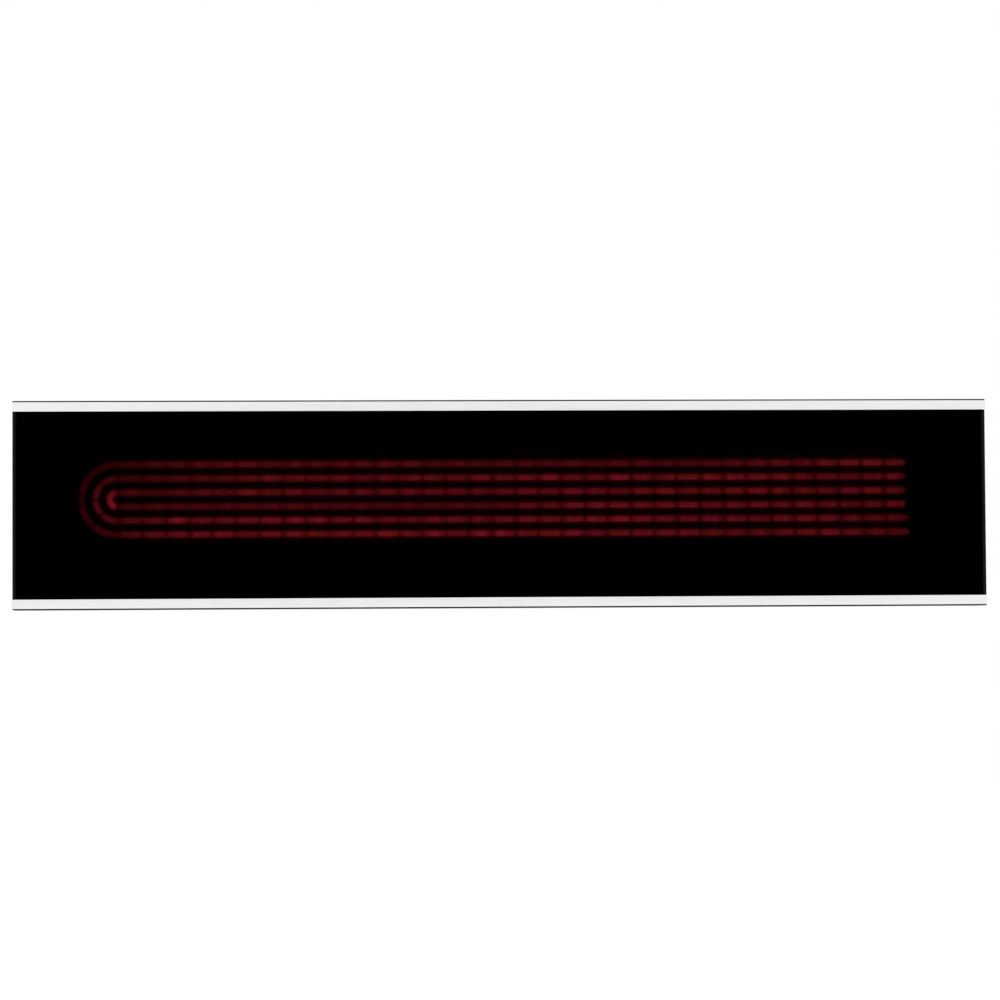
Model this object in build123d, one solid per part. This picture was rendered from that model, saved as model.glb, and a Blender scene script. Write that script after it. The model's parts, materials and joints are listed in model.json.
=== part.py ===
"""Wall-mounted infrared strip heater with a black glass-ceramic front.

Millimetres. +X runs along the heater, the glass faces -Y and +Z is up. The
origin is the centre of the wall bolts, in the plane of the wall (y = 0).

The heater is a long shallow box. A black glass pane is held between two
aluminium trims. Behind it, three nested coils of heating wire lie in the
grooves of an insulating board. The board sits in a steel pan that leaf
springs press forward, and a folded steel casing closes the back. Two tilt arms
on the casing turn about a bolt in two wall brackets, and a second bolt in an
arc slot locks the angle.
"""
import math
import os

from build123d import *

# ---------------------------------------------------------------- driving sizes
HEATER_LENGTH = 990.0  # over the trims
HEATER_HEIGHT = 211.0  # over the casing
HEATER_DEPTH = 68.0  # face of the trims to the back of the casing
WALL_GAP = 105.0  # back of the casing to the wall

# trims: one aluminium extrusion, used at the top and at the bottom
TRIM_FACE = 10.7  # top of the casing down to the lip's lower edge
LIP_T = 2.0
FLANGE_T = 1.8
FLANGE_DEPTH = 36.0
TRIM_CORNER = 0.5
RIB_T = 1.6
RIB_DROP = 25.0  # top of the casing down to the rib's free edge
PORT_AT = 7.0  # screw port below the top of the casing
PORT_SETBACK = 3.4  # rib to the screw port
PORT_OD = 8.0
PORT_BORE = 4.0
PORT_SLOT = 1.6
TRIM_SCREW_PITCH = 330.0
TRIM_SCREW_LENGTH = 7.0
TRIM_SCREW_INSET = 6.5  # from the flange's rear edge

# glass and its rubber gaskets
GLASS_T = 4.0
GLASS_BITE = 6.2  # how far the glass goes in behind each lip
GLASS_SEAM = 0.4
GASKET_T = 1.0
GASKET_CROWN = 1.4  # rubber above the glass's edge
GASKET_LEG = 6.0

# casing of folded sheet around the trims, and the two end caps
SHEET_T = 1.2
EDGE_RECESS = 0.5  # casing's front edge behind the trims' face
LAP_PLAY = 0.05  # casing to the trims' flanges
REAR_CHAMFER = 20.0
BEND_R = 3.0  # outside radius of the casing's folds
END_TAB = 18.0
TAB_GAP = 1.0  # flanges of the trims to the tabs
TAB_SCREW_INSET = 25.0  # rear fold to the tab's screws
CAP_T = 3.0
CAP_RECESS = 0.5
CAP_CHAMFER = 0.8
CAP_FIT = 0.2  # cap to the trims' lips
CAP_SCREW_LENGTH = 13.0
CAP_RIM_FRONT = 24.0  # face of the trims to the cap's locating rim
CAP_RIM_T = 2.0
CAP_RIM_PLAY = 0.4
CAP_RIM_REACH = 2.6
END_PLAY = 0.5  # end caps to the glass, its gaskets and the trims' insides
VENT_LENGTH = 60.0
VENT_WIDTH = 4.0
VENT_PITCH = 92.0
VENT_MARGIN = 30.0

# heating element
ELEMENT_RISE = 6.2  # centre of the coils above the centre of the glass
ROW_PITCH = 14.2
COIL_OD = 6.4
COIL_WALL = 0.7
COIL_TO_PIN = 14.2  # right-hand end of the coils to the bend of their pins
BEND_MARGIN = 104.2  # left-hand end of the heater to the centre of the bends
GROOVE_PLAY = 0.3
RIM_WALL = 14.0
RIM_CORNER = 4.0  # least corner radius, inside the rim
RIM_DEPTH = 13.0
RIM_PLAY = 0.2  # rim to the back of the glass
BOARD_LEFT_MARGIN = 45.0
BOARD_RIGHT_MARGIN = 29.0
BOARD_HEIGHT = 116.0
BOARD_T = 18.0
BOARD_CORNER = 12.0
PAN_T = 0.8
PAN_PLAY = 0.5
PAN_STEP = 2.0  # pan's rim behind the glass
BAR_PITCH = 23.65
BAR_START = 2.7  # first bar from the centre of the bends
BAR_WIDTH = 2.0
BAR_T = 1.2
BAR_REACH = 42.0  # legs from the centre of the coils
BAR_LEG = 12.0  # length of leg in the board
BAR_PLAY = 0.1
BEND_BAR_ANGLES = (45, 90, 135)

# terminal pins at the right-hand end
PIN_MARGIN = 65.0  # right-hand end of the heater to the pins
PIN_D = 3.0
PIN_HEAD = 10.0
PIN_BEND = 4.0
BEAD_OD = 7.0
BEAD_COLLAR = 10.0
BEAD_COLLAR_T = 4.0
TAG_T = 1.0
TAG_REACH = 8.5  # end of a ring terminal's barrel from its pin
TAG_RING = 2.4
PIN_NUT = (5.5, 2.4)  # across flats, height

# cross carriers, springs and heat shield behind the pan
CARRIER_PITCH = 320.0
CARRIER_WIDTH = 36.0
CARRIER_T = 1.2
CARRIER_SETBACK = 0.5  # hat's wall to the free edges of the trims' ribs
CARRIER_FLANGE = 10.0
CARRIER_SCREW_INSET = 6.0
SPRING_ROOM = 5.0
SPRING_T = 0.6
SPRING_PLAY = 0.05
SPRING_WIDTH = 24.0
SPRING_CHORD = 76.0
SHIELD_T = 0.6
SHIELD_TO_PIN = 45.0
SHIELD_HALF = 75.0
SHIELD_LIP = 8.0
SHIELD_SCREW_INSET = 15.0
SHIELD_SCREW_LENGTH = 3.0

# over-temperature cutout, terminal block and cover
CUTOUT_TO_PIN = 76.0
CUTOUT_D = 16.0
CUTOUT_H = 11.2
CUTOUT_CUP = 4.5
CUTOUT_PLATE_T = 1.0
CUTOUT_SCREWS = 22.0  # between the two screws
BLADE_T = 0.8
BLADE_WIDTH = 4.8
BLADE_REACH = 16.0  # blade's tip from the cutout's centre
BLADE_Z = 4.2
COVER_TO_PIN = 20.0
COVER_LENGTH = 120.0
COVER_HEIGHT = 84.0
COVER_RISE = 34.0  # back of the casing to the back of the cover
COVER_FLANGE = 12.0
COVER_GASKET_T = 1.5
COVER_CORNER = 6.0
BLOCK_LENGTH = 44.0
BLOCK_HEIGHT = 18.0
BLOCK_DEPTH = 17.0
BLOCK_BOTTOM = 6.0
POLE_PITCH = 11.0
WIRE_HEIGHT = 8.0  # wires in the block, from the casing
INSERT_HALF = 3.4
INSERT_PLAY = 0.05
CLAMP_SPACING = 8.0
CLAMP = (1.25, 2.3, 2.0)  # clamp screw: shank radius, head radius, head height
CLAMP_LENGTH = 1.6
BLOCK_SINK = 3.0  # depth of the block screws' counterbores
GROMMET_Z = -12.0
GROMMET_HOLE = 16.0
GROMMET_OD = 20.0
GROMMET_BORE = 11.0
GROMMET_T = 5.2
EARTH_OFFSET = 34.0  # along the heater from the middle of the cover
EARTH_Z = -24.0
EARTH_STEP = 2.0  # collar of the earth stud
EARTH_NUT = (8.0, 3.5)
LEAD_D = 3.2
CABLE_BORE = 10.0
GLAND_THREAD = 16.0
GLAND_ABOVE = 6.0  # thread above the cover's sheet
GLAND_BARREL = 14.0  # body below the cover
GLAND_HEX = (22.0, 5.0)  # across flats, height
LOCKNUT = (20.0, 4.0)
SEAL_R = 6.8
SEAL_TOP = 8.0  # from the bottom of the cover
SEAL_END = 17.0
DOME_TOP = 6.0
DOME_END = 22.0
DOME_R = 12.8
DOME_MOUTH = 5.3

# tilt arms and wall brackets
BRACKET_SPACING = 560.0
PIVOT_OFF_WALL = 60.0
LOCK_RADIUS = 34.0
TILT_RANGE = 45.0
PLATE_T = 3.0
ARM_WIDTH = 50.0
ARM_HEIGHT = 70.0
ARM_EYE = 15.0
ARM_TAIL = 10.0
EAR_PLAY = 0.3
PIVOT_PLAY = 0.08  # radial, bolt to arm
LOCK_WASHER_PLAY = 0.15
SPACER_R = 7.0
SPACER_PLAY = 0.2
WALL_PLATE_HEIGHT = 116.0
EAR_BASE = 80.0
EAR_EYE = 18.0
WALL_SLOT_WIDTH = 7.0
WALL_SLOT_LENGTH = 20.0
WALL_SLOT_PITCH = 94.0
BACKING_LENGTH = 60.0
BACKING_HEIGHT = 80.0
ARM_SCREW_X = 14.0
ARM_SCREW_Z = 25.0

# fasteners: shank radius, head radius, head height
M3 = (1.5, 2.8, 1.8)
M4 = (2.0, 3.5, 2.4)
M6 = (3.0, 5.25, 3.3)
SUNK_M3 = (1.5, 3.0, 1.5)
SUNK_M4 = (1.95, 3.85, 1.9)
SCREW_PLAY = 0.1  # hole radius over shank radius
TAPPED_PLAY = 0.05  # the same for a tapped hole or a nut
M5_R = 2.5
M8_R = 4.0
M8_HEAD = 5.3
M8_NUT = 8.0
M8_HEX = 13.0
M8_WASHER = (8.0, 1.6)  # outer radius, thickness
BOLT_END = 2.0  # bolt beyond its nut

# ---------------------------------------------------------------- places worked out
FRONT_Y = -(WALL_GAP + HEATER_DEPTH)
BACK_Y = -WALL_GAP
TOP = HEATER_HEIGHT / 2
END = HEATER_LENGTH / 2
PIN_X = END - PIN_MARGIN
COIL_RIGHT = PIN_X - COIL_TO_PIN
COIL_BEND = BEND_MARGIN - END
BAR_FIRST = COIL_BEND + BAR_START
BAR_COUNT = 1 + int((COIL_RIGHT - BAR_FIRST) / BAR_PITCH - 0.5)
BOARD_LEFT = BOARD_LEFT_MARGIN - END
BOARD_RIGHT = END - BOARD_RIGHT_MARGIN
SHIELD_RIGHT = PIN_X - SHIELD_TO_PIN
CUTOUT_X = PIN_X - CUTOUT_TO_PIN
COVER_X = PIN_X - COVER_TO_PIN
EARTH_X = COVER_X + EARTH_OFFSET
VENT_COUNT = int((HEATER_LENGTH - 2 * VENT_MARGIN) / VENT_PITCH)
CARRIER_HALF = TOP - RIB_DROP + CARRIER_SETBACK
TRIM_TOP = TOP - SHEET_T - LAP_PLAY
FLANGE_BOTTOM = TRIM_TOP - FLANGE_T
CAP_IN = END - CAP_RECESS - CAP_T  # inner face of an end cap
INSIDE_END = CAP_IN - END_PLAY
CASING_FRONT_Y = FRONT_Y + EDGE_RECESS
TAB_FRONT_Y = FRONT_Y + FLANGE_DEPTH + TAB_GAP
GLASS_Y = FRONT_Y + LIP_T + GASKET_T
GLASS_TOP = TOP - TRIM_FACE + GLASS_BITE
GLASS_BACK_Y = GLASS_Y + GLASS_T
RIB_Y = GLASS_BACK_Y + GASKET_T
RIB_BACK_Y = RIB_Y + RIB_T
PORT_Y = RIB_BACK_Y + PORT_SETBACK + PORT_OD / 2
COIL_Y = GLASS_BACK_Y + RIM_PLAY + RIM_DEPTH
BOARD_BACK_Y = COIL_Y + BOARD_T
PAN_BACK_Y = BOARD_BACK_Y + PAN_T
WEB_Y = PAN_BACK_Y + SPRING_ROOM
SHIELD_Y = WEB_Y + CARRIER_T
SHIELD_BACK_Y = SHIELD_Y + SHIELD_T
COIL_R = COIL_OD / 2
LOOP_RADII = [ROW_PITCH * k for k in (0.5, 1.5, 2.5)]
ROW_Z = [ELEMENT_RISE + ROW_PITCH * k for k in (2.5, 1.5, 0.5, -0.5, -1.5, -2.5)]
TAG_Y = PAN_BACK_Y + BEAD_COLLAR_T + 0.1
TAG_BACK_Y = TAG_Y + TAG_T
PIN_END_Y = TAG_BACK_Y + 4.0
BLOCK_Z = BLOCK_BOTTOM + BLOCK_HEIGHT / 2
WIRE_Y = BACK_Y + WIRE_HEIGHT
EARTH_TAG_Y = BACK_Y + EARTH_STEP
GLAND_Y = BACK_Y + COVER_GASKET_T + (COVER_RISE - COVER_GASKET_T) / 2
COVER_BOTTOM = -COVER_HEIGHT / 2
PIVOT_Y = -PIVOT_OFF_WALL
LOCK_ANGLE = math.radians(-TILT_RANGE / 2)
LOCK_Y = PIVOT_Y + LOCK_RADIUS * math.cos(LOCK_ANGLE)
LOCK_Z = LOCK_RADIUS * math.sin(LOCK_ANGLE)
PIVOT = (PIVOT_Y, 0.0)
LOCK = (LOCK_Y, LOCK_Z)
EAR_IN = ARM_WIDTH / 2 + EAR_PLAY
EAR_OUT = EAR_IN + PLATE_T
CARRIER_X = [-CARRIER_PITCH, 0.0, CARRIER_PITCH]
TRIM_SCREW_X = [-TRIM_SCREW_PITCH, 0.0, TRIM_SCREW_PITCH]
TRIM_SCREW_Y = FRONT_Y + FLANGE_DEPTH - TRIM_SCREW_INSET
TAB_SCREW_Y = BACK_Y - END_TAB / 2
TAB_SCREW_Z = TOP - REAR_CHAMFER - TAB_SCREW_INSET


# ---------------------------------------------------------------- helpers
def along_x(face, x0, x1):
    """Extrude a section drawn in (y, z) from x0 to x1."""
    return extrude(Plane.YZ.offset(x0) * face, amount=x1 - x0)


def along_y(face, y0, y1):
    """Extrude a front view drawn in (x, z) from y0 back to y1."""
    return extrude(Plane.XZ.offset(-y1) * face, amount=y1 - y0)


def along_z(face, z0, z1):
    """Extrude a plan drawn in (x, y) from z0 up to z1."""
    return extrude(Plane.XY.offset(z0) * face, amount=z1 - z0)


def rect(a0, a1, b0, b1):
    """Rectangle between two pairs of limits."""
    return Pos((a0 + a1) / 2, (b0 + b1) / 2) * Rectangle(a1 - a0, b1 - b0)


def disc(a, b, radius):
    return Pos(a, b) * Circle(radius)


def hexagon(a, b, across_flats):
    return Pos(a, b) * RegularPolygon(across_flats / 2, 6, major_radius=False)


def group(pieces):
    """Separate solids as one node."""
    return Compound([solid for piece in pieces for solid in piece.solids()])


def upside_down(piece):
    return mirror(piece, about=Plane.XY)


def other_end(piece):
    return mirror(piece, about=Plane.YZ)


def four_ways(piece):
    half = [piece, upside_down(piece)]
    return half + [other_end(p) for p in half]


def tube_along(points, radii, radius):
    """Round bar along straight runs joined by tangent arcs."""
    path = FilletPolyline(*points, radius=radii)
    start = Plane(origin=path @ 0, z_dir=path % 0)
    return sweep(start * Circle(radius), path=path)


def ring_face(a, b, outer, inner):
    return disc(a, b, outer) - disc(a, b, inner)


# ---------------------------------------------------------------- front: glass, gaskets, trims
def glass_front():
    """Printed black glass-ceramic pane with seamed edges."""
    face = rect(-INSIDE_END, INSIDE_END, -GLASS_TOP, GLASS_TOP)
    pane = along_y(face, GLASS_Y, GLASS_BACK_Y)
    return chamfer(pane.edges().filter_by(Axis.X), GLASS_SEAM)


def glass_gasket_top():
    """U-shaped silicone strip over the glass's edge, hidden behind the lip."""
    y0 = GLASS_Y - GASKET_T
    y1 = GLASS_BACK_Y + GASKET_T
    low = GLASS_TOP - GASKET_LEG
    section = rect(y0, y1, low, GLASS_TOP + GASKET_CROWN)
    section -= rect(GLASS_Y, GLASS_BACK_Y, low, GLASS_TOP)
    return along_x(section, -INSIDE_END, INSIDE_END)


def trim_lip():
    """Lip over the glass's edge, with eased corners; it alone runs the full length."""
    section = rect(FRONT_Y, FRONT_Y + LIP_T, TOP - TRIM_FACE, TRIM_TOP)
    front = section.vertices().sort_by(Axis.X)[:2]
    return along_x(fillet(front, TRIM_CORNER), -END, END)


def trim_inside():
    """Flange, rib behind the glass and screw port, milled back for the end caps."""
    port_z = TOP - PORT_AT
    flange = rect(FRONT_Y + LIP_T, FRONT_Y + FLANGE_DEPTH, FLANGE_BOTTOM, TRIM_TOP)
    rib = rect(RIB_Y, RIB_BACK_Y, TOP - RIB_DROP, FLANGE_BOTTOM)
    neck = rect(PORT_Y - PORT_OD / 4, PORT_Y + PORT_OD / 4, port_z, FLANGE_BOTTOM)
    port = disc(PORT_Y, port_z, PORT_OD / 2) + neck
    slot = rect(PORT_Y - PORT_SLOT / 2, PORT_Y + PORT_SLOT / 2, port_z - PORT_OD, port_z)
    section = flange + rib + (port - disc(PORT_Y, port_z, PORT_BORE / 2) - slot)
    return along_x(section, -INSIDE_END, INSIDE_END)


def sunk_screw(size, length, play):
    """Countersunk screw with its head's face at the origin, pointing down."""
    radius, head_r, head_h = size
    head = Pos(0, 0, -head_h / 2) * Cone(radius + play, head_r + play, head_h)
    return head + along_z(Circle(radius + play), -length, -head_h)


def trim_screw_at(x, play):
    return Pos(x, TRIM_SCREW_Y, TOP) * sunk_screw(SUNK_M3, TRIM_SCREW_LENGTH, play)


def top_trim():
    trim = trim_lip() + trim_inside()
    for x in TRIM_SCREW_X:
        trim -= trim_screw_at(x, SCREW_PLAY)
    for x in CARRIER_X:
        hole = disc(x, carrier_screw_z(), M4[0] + TAPPED_PLAY)
        trim -= along_y(hole, RIB_Y, RIB_BACK_Y)
    return trim


def trim_screws():
    """M3 countersunk screws through the casing into the trims."""
    upper = [trim_screw_at(x, 0.0) for x in TRIM_SCREW_X]
    return group(upper + [upside_down(screw) for screw in upper])


# ---------------------------------------------------------------- casing and end caps
def casing_face(inset, front_y):
    """Section of the casing drawn `inset` inside its outer skin, closed at front_y."""
    top = TOP - inset
    back = BACK_Y - inset
    leg = REAR_CHAMFER - (2 - math.sqrt(2)) * inset
    points = [
        (front_y, top),
        (back - leg, top),
        (back, top - leg),
        (back, leg - top),
        (back - leg, -top),
        (front_y, -top),
    ]
    line = FilletPolyline(*points, radius=max(BEND_R - inset, 0.5))
    return make_face(line.edges() + [Line(points[-1], points[0])])


def vent_cutter():
    """Row of slots through the upper chamfer."""
    middle = (0, BACK_Y - REAR_CHAMFER / 2, TOP - REAR_CHAMFER / 2)
    slope = Plane(origin=middle, x_dir=(1, 0, 0), z_dir=(0, 1, 1))
    slots = Sketch() + [
        place * SlotOverall(VENT_LENGTH, VENT_WIDTH)
        for place in GridLocations(VENT_PITCH, 0, VENT_COUNT, 1)
    ]
    return extrude(slope * slots, amount=2 * SHEET_T, both=True)


def rear_casing():
    """One folded sheet around the trims, with tabs at its ends and slots in its chamfers."""
    wall = casing_face(0, CASING_FRONT_Y) - casing_face(SHEET_T, FRONT_Y)
    tab = casing_face(0, TAB_FRONT_Y) - casing_face(END_TAB, FRONT_Y)
    casing = along_x(wall, -CAP_IN, CAP_IN)
    end_tab = along_x(tab, CAP_IN - SHEET_T, CAP_IN)
    casing += [end_tab, other_end(end_tab)]
    vents = vent_cutter()
    casing -= [vents, upside_down(vents)]
    for x in TRIM_SCREW_X:
        screw = trim_screw_at(x, SCREW_PLAY)
        casing -= [screw, upside_down(screw)]
    for z in (TAB_SCREW_Z, -TAB_SCREW_Z):
        casing -= along_x(disc(TAB_SCREW_Y, z, SUNK_M4[0] + SCREW_PLAY), -CAP_IN, CAP_IN)
    back_holes = [disc(x, z, M6[0] + SCREW_PLAY) for x, z in arm_screw_places()]
    back_holes += [disc(x, z, M4[0] + SCREW_PLAY) for x, z in cover_screw_places()]
    back_holes += [disc(x, BLOCK_Z, M3[0] + SCREW_PLAY) for x in block_screw_x()]
    back_holes += [disc(COVER_X, GROMMET_Z, GROMMET_HOLE / 2)]
    back_holes += [disc(EARTH_X, EARTH_Z, M5_R + SCREW_PLAY)]
    for hole in back_holes:
        casing -= along_y(hole, BACK_Y - SHEET_T, BACK_Y)
    return casing


def cap_screw_places():
    """(y, z) of the two upper screws of an end cap."""
    return [(PORT_Y, TOP - PORT_AT), (TAB_SCREW_Y, TAB_SCREW_Z)]


def cap_screw_at(y, z, play):
    place = Pos(CAP_IN + CAP_T, y, z) * Rot(0, 90, 0)
    return place * sunk_screw(SUNK_M4, CAP_SCREW_LENGTH, play)


def right_end_cap():
    """Cast end cap with a notch for the trims' lips and a locating rim on its back."""
    lips = rect(FRONT_Y, FRONT_Y + LIP_T + CAP_FIT, -TRIM_TOP - LAP_PLAY, TRIM_TOP + LAP_PLAY)
    plate = along_x(casing_face(0, CASING_FRONT_Y), CAP_IN, CAP_IN + CAP_T)
    plate = chamfer(plate.faces().sort_by(Axis.X)[-1].edges().sort_by(Axis.Y)[-3:], CAP_CHAMFER)
    plate -= along_x(lips, CAP_IN, CAP_IN + CAP_T)
    rim_inset = END_TAB + CAP_RIM_PLAY
    rim_front = FRONT_Y + CAP_RIM_FRONT
    rim = casing_face(rim_inset, rim_front)
    rim -= casing_face(rim_inset + CAP_RIM_T, rim_front + CAP_RIM_T)
    cap = plate + along_x(rim, CAP_IN - CAP_RIM_REACH, CAP_IN)
    for y, z in cap_screw_places():
        screw = cap_screw_at(y, z, SCREW_PLAY)
        cap -= [screw, upside_down(screw)]
    return cap


def end_cap_screws():
    """M4 countersunk screws, two into the screw ports and two into the tabs, per cap."""
    screws = []
    for y, z in cap_screw_places():
        screws += four_ways(cap_screw_at(y, z, 0.0))
    return group(screws)


# ---------------------------------------------------------------- heating element
def board_outline(grow):
    length = BOARD_RIGHT - BOARD_LEFT + 2 * grow
    corner = max(BOARD_CORNER + grow, RIM_CORNER)
    middle = Pos((BOARD_LEFT + BOARD_RIGHT) / 2, ELEMENT_RISE)
    return middle * RectangleRounded(length, BOARD_HEIGHT + 2 * grow, corner)


def loop_path(bend_radius, x_end):
    """U-shaped line in the plane of the coils, open to the right."""
    z_up = ELEMENT_RISE + bend_radius
    z_down = ELEMENT_RISE - bend_radius
    tip = (COIL_BEND - bend_radius, COIL_Y, ELEMENT_RISE)
    upper = Line((x_end, COIL_Y, z_up), (COIL_BEND, COIL_Y, z_up))
    bend = ThreePointArc((COIL_BEND, COIL_Y, z_up), tip, (COIL_BEND, COIL_Y, z_down))
    lower = Line((COIL_BEND, COIL_Y, z_down), (x_end, COIL_Y, z_down))
    return Wire([upper, bend, lower])


def along_loop(section, bend_radius, x_end):
    path = loop_path(bend_radius, x_end)
    start = Plane(origin=path @ 0, z_dir=path % 0)
    return sweep(start * section, path=path)


def coil(bend_radius):
    """Close-wound coil of heating wire as the tube that its turns make."""
    section = Circle(COIL_R) - Circle(COIL_R - COIL_WALL)
    return along_loop(section, bend_radius, COIL_RIGHT)


def staple(low, high, leg_to):
    """Bar across the coils with a leg at each end, standing along Z at x = 0."""
    front = COIL_Y - COIL_R - BAR_PLAY - BAR_T
    outside = rect(front, leg_to, low - BAR_T / 2, high + BAR_T / 2)
    inside = rect(front + BAR_T, leg_to + 1, low + BAR_T / 2, high - BAR_T / 2)
    return along_x(outside - inside, -BAR_WIDTH / 2, BAR_WIDTH / 2)


def coil_hold_down_bars():
    """Straight bars across all six rows, and short radial ones on the bends."""
    leg_to = COIL_Y + BAR_LEG
    straight = Pos(0, 0, ELEMENT_RISE) * staple(-BAR_REACH, BAR_REACH, leg_to)
    bars = [Pos(BAR_FIRST + BAR_PITCH * k, 0, 0) * straight for k in range(BAR_COUNT)]
    radial = staple(ROW_PITCH, BAR_REACH, leg_to)
    centre = Pos(COIL_BEND, 0, ELEMENT_RISE)
    bars += [centre * Rot(0, -angle, 0) * radial for angle in BEND_BAR_ANGLES]
    return group(bars)


def insulation_board():
    """Insulating board with a groove for each coil and slits for the bars' legs."""
    board = along_y(board_outline(0), COIL_Y, BOARD_BACK_Y)
    groove = Circle(COIL_R + GROOVE_PLAY)
    board -= [along_loop(groove, radius, PIN_X + BEAD_OD / 2) for radius in LOOP_RADII]
    for z in ROW_Z:
        board -= along_y(disc(PIN_X, z, BEAD_OD / 2 + 0.1), COIL_Y - 1, BOARD_BACK_Y)
    return board - coil_hold_down_bars().solids()


def insulation_rim():
    """Frame of the same board between the coils' board and the glass."""
    face = board_outline(0) - board_outline(-RIM_WALL)
    return along_y(face, COIL_Y - RIM_DEPTH, COIL_Y)


def element_pan():
    """Drawn steel pan around the board and its rim."""
    front = GLASS_BACK_Y + PAN_STEP
    pan = along_y(board_outline(PAN_PLAY + PAN_T), front, PAN_BACK_Y)
    pan -= along_y(board_outline(PAN_PLAY), front, BOARD_BACK_Y)
    for z in ROW_Z:
        pan -= along_y(disc(PIN_X, z, BEAD_OD / 2 + 0.2), BOARD_BACK_Y, PAN_BACK_Y)
    return pan


def coil_pins():
    """Headed pins in the coils' ends, bent back through the board."""
    pins = []
    head_x = COIL_RIGHT - PIN_HEAD
    head_r = COIL_R - COIL_WALL - 0.05
    for z in ROW_Z:
        route = [(head_x, COIL_Y, z), (PIN_X, COIL_Y, z), (PIN_X, PIN_END_Y, z)]
        head = along_x(disc(COIL_Y, z, head_r), head_x, COIL_RIGHT)
        pins.append(tube_along(route, PIN_BEND, PIN_D / 2) + head)
    return group(pins)


def pin_beads():
    """Ceramic bushes that carry the pins through the pan."""
    front = COIL_Y + PIN_BEND + 1
    beads = []
    for z in ROW_Z:
        bush = along_y(disc(PIN_X, z, BEAD_OD / 2), front, PAN_BACK_Y)
        bush += along_y(disc(PIN_X, z, BEAD_COLLAR / 2), PAN_BACK_Y, PAN_BACK_Y + BEAD_COLLAR_T)
        hole = disc(PIN_X, z, PIN_D / 2 + 0.2)
        beads.append(bush - along_y(hole, front, PAN_BACK_Y + BEAD_COLLAR_T))
    return group(beads)


def link_bars():
    """Strips that put the three coils in series."""
    bars = []
    for upper, lower in ((1, 2), (4, 5)):
        middle = (ROW_Z[upper] + ROW_Z[lower]) / 2
        face = Pos(PIN_X, middle) * SlotOverall(ROW_PITCH + 8, 8, rotation=90)
        for z in (ROW_Z[upper], ROW_Z[lower]):
            face -= disc(PIN_X, z, PIN_D / 2 + SCREW_PLAY)
        bars.append(along_y(face, TAG_Y, TAG_BACK_Y))
    return group(bars)


def tag_face(x, z, bore):
    """Ring terminal with its barrel to the left."""
    barrel = rect(x - TAG_REACH, x, z - LEAD_D / 2, z + LEAD_D / 2)
    return disc(x, z, bore + TAG_RING) + barrel - disc(x, z, bore)


def ring_terminals():
    """Crimped tags on the two end pins and on the earth stud."""
    on_pin = [tag_face(PIN_X, ROW_Z[row], PIN_D / 2 + SCREW_PLAY) for row in (0, 3)]
    tags = [along_y(face, TAG_Y, TAG_BACK_Y) for face in on_pin]
    earth = tag_face(EARTH_X, EARTH_Z, M5_R + SCREW_PLAY)
    tags.append(along_y(earth, EARTH_TAG_Y, EARTH_TAG_Y + TAG_T))
    return group(tags)


def pin_nuts():
    across, height = PIN_NUT
    faces = [hexagon(PIN_X, z, across) - disc(PIN_X, z, PIN_D / 2 + TAPPED_PLAY) for z in ROW_Z]
    return group([along_y(face, TAG_BACK_Y, TAG_BACK_Y + height) for face in faces])


# ---------------------------------------------------------------- carriers, springs, heat shield
def carrier_screw_z():
    return CARRIER_HALF + CARRIER_SCREW_INSET


def element_carriers():
    """Hat-shaped cross members between the trims' ribs."""
    flange_y = RIB_BACK_Y + CARRIER_T / 2
    web_y = WEB_Y + CARRIER_T / 2
    tip = CARRIER_HALF + CARRIER_FLANGE
    points = [
        (flange_y, tip),
        (flange_y, CARRIER_HALF),
        (web_y, CARRIER_HALF),
        (web_y, -CARRIER_HALF),
        (flange_y, -CARRIER_HALF),
        (flange_y, -tip),
    ]
    hat = trace(FilletPolyline(*points, radius=2.0), CARRIER_T)
    carriers = []
    for x in CARRIER_X:
        carrier = along_x(hat, x - CARRIER_WIDTH / 2, x + CARRIER_WIDTH / 2)
        for side in (1, -1):
            hole = disc(x, side * carrier_screw_z(), M4[0] + SCREW_PLAY)
            carrier -= along_y(hole, RIB_BACK_Y, RIB_BACK_Y + CARRIER_T)
            hole = disc(x, side * shield_screw_z(), M3[0] + SCREW_PLAY)
            carrier -= along_y(hole, WEB_Y, SHIELD_Y)
        carriers.append(carrier)
    return group(carriers)


def pan_screw(x, y, z, size, length):
    """Screw with a low round head, driven forward (towards -Y) onto a face at y."""
    radius, head_r, head_h = size
    shank = along_y(disc(x, z, radius), y - length, y)
    return shank + along_y(disc(x, z, head_r), y, y + head_h)


def carrier_screws():
    screws = []
    length = CARRIER_T + RIB_T
    for x in CARRIER_X:
        for side in (1, -1):
            z = side * carrier_screw_z()
            screws.append(pan_screw(x, RIB_BACK_Y + CARRIER_T, z, M4, length))
    return group(screws)


def leaf_springs():
    """Bowed strips that press the pan forward onto the glass."""
    end_y = WEB_Y - SPRING_T / 2 - SPRING_PLAY
    crown_y = PAN_BACK_Y + SPRING_T / 2 + SPRING_PLAY
    half = SPRING_CHORD / 2
    bow = ThreePointArc(
        (end_y, ELEMENT_RISE - half), (crown_y, ELEMENT_RISE), (end_y, ELEMENT_RISE + half)
    )
    strip = trace(bow, SPRING_T)
    return group([along_x(strip, x - SPRING_WIDTH / 2, x + SPRING_WIDTH / 2) for x in CARRIER_X])


def shield_screw_z():
    return SHIELD_HALF - SHIELD_SCREW_INSET


def cutout_screw_x():
    return [CUTOUT_X - CUTOUT_SCREWS / 2, CUTOUT_X + CUTOUT_SCREWS / 2]


def shield_screw_places():
    return [(x, side * shield_screw_z()) for x in CARRIER_X for side in (1, -1)]


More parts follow.
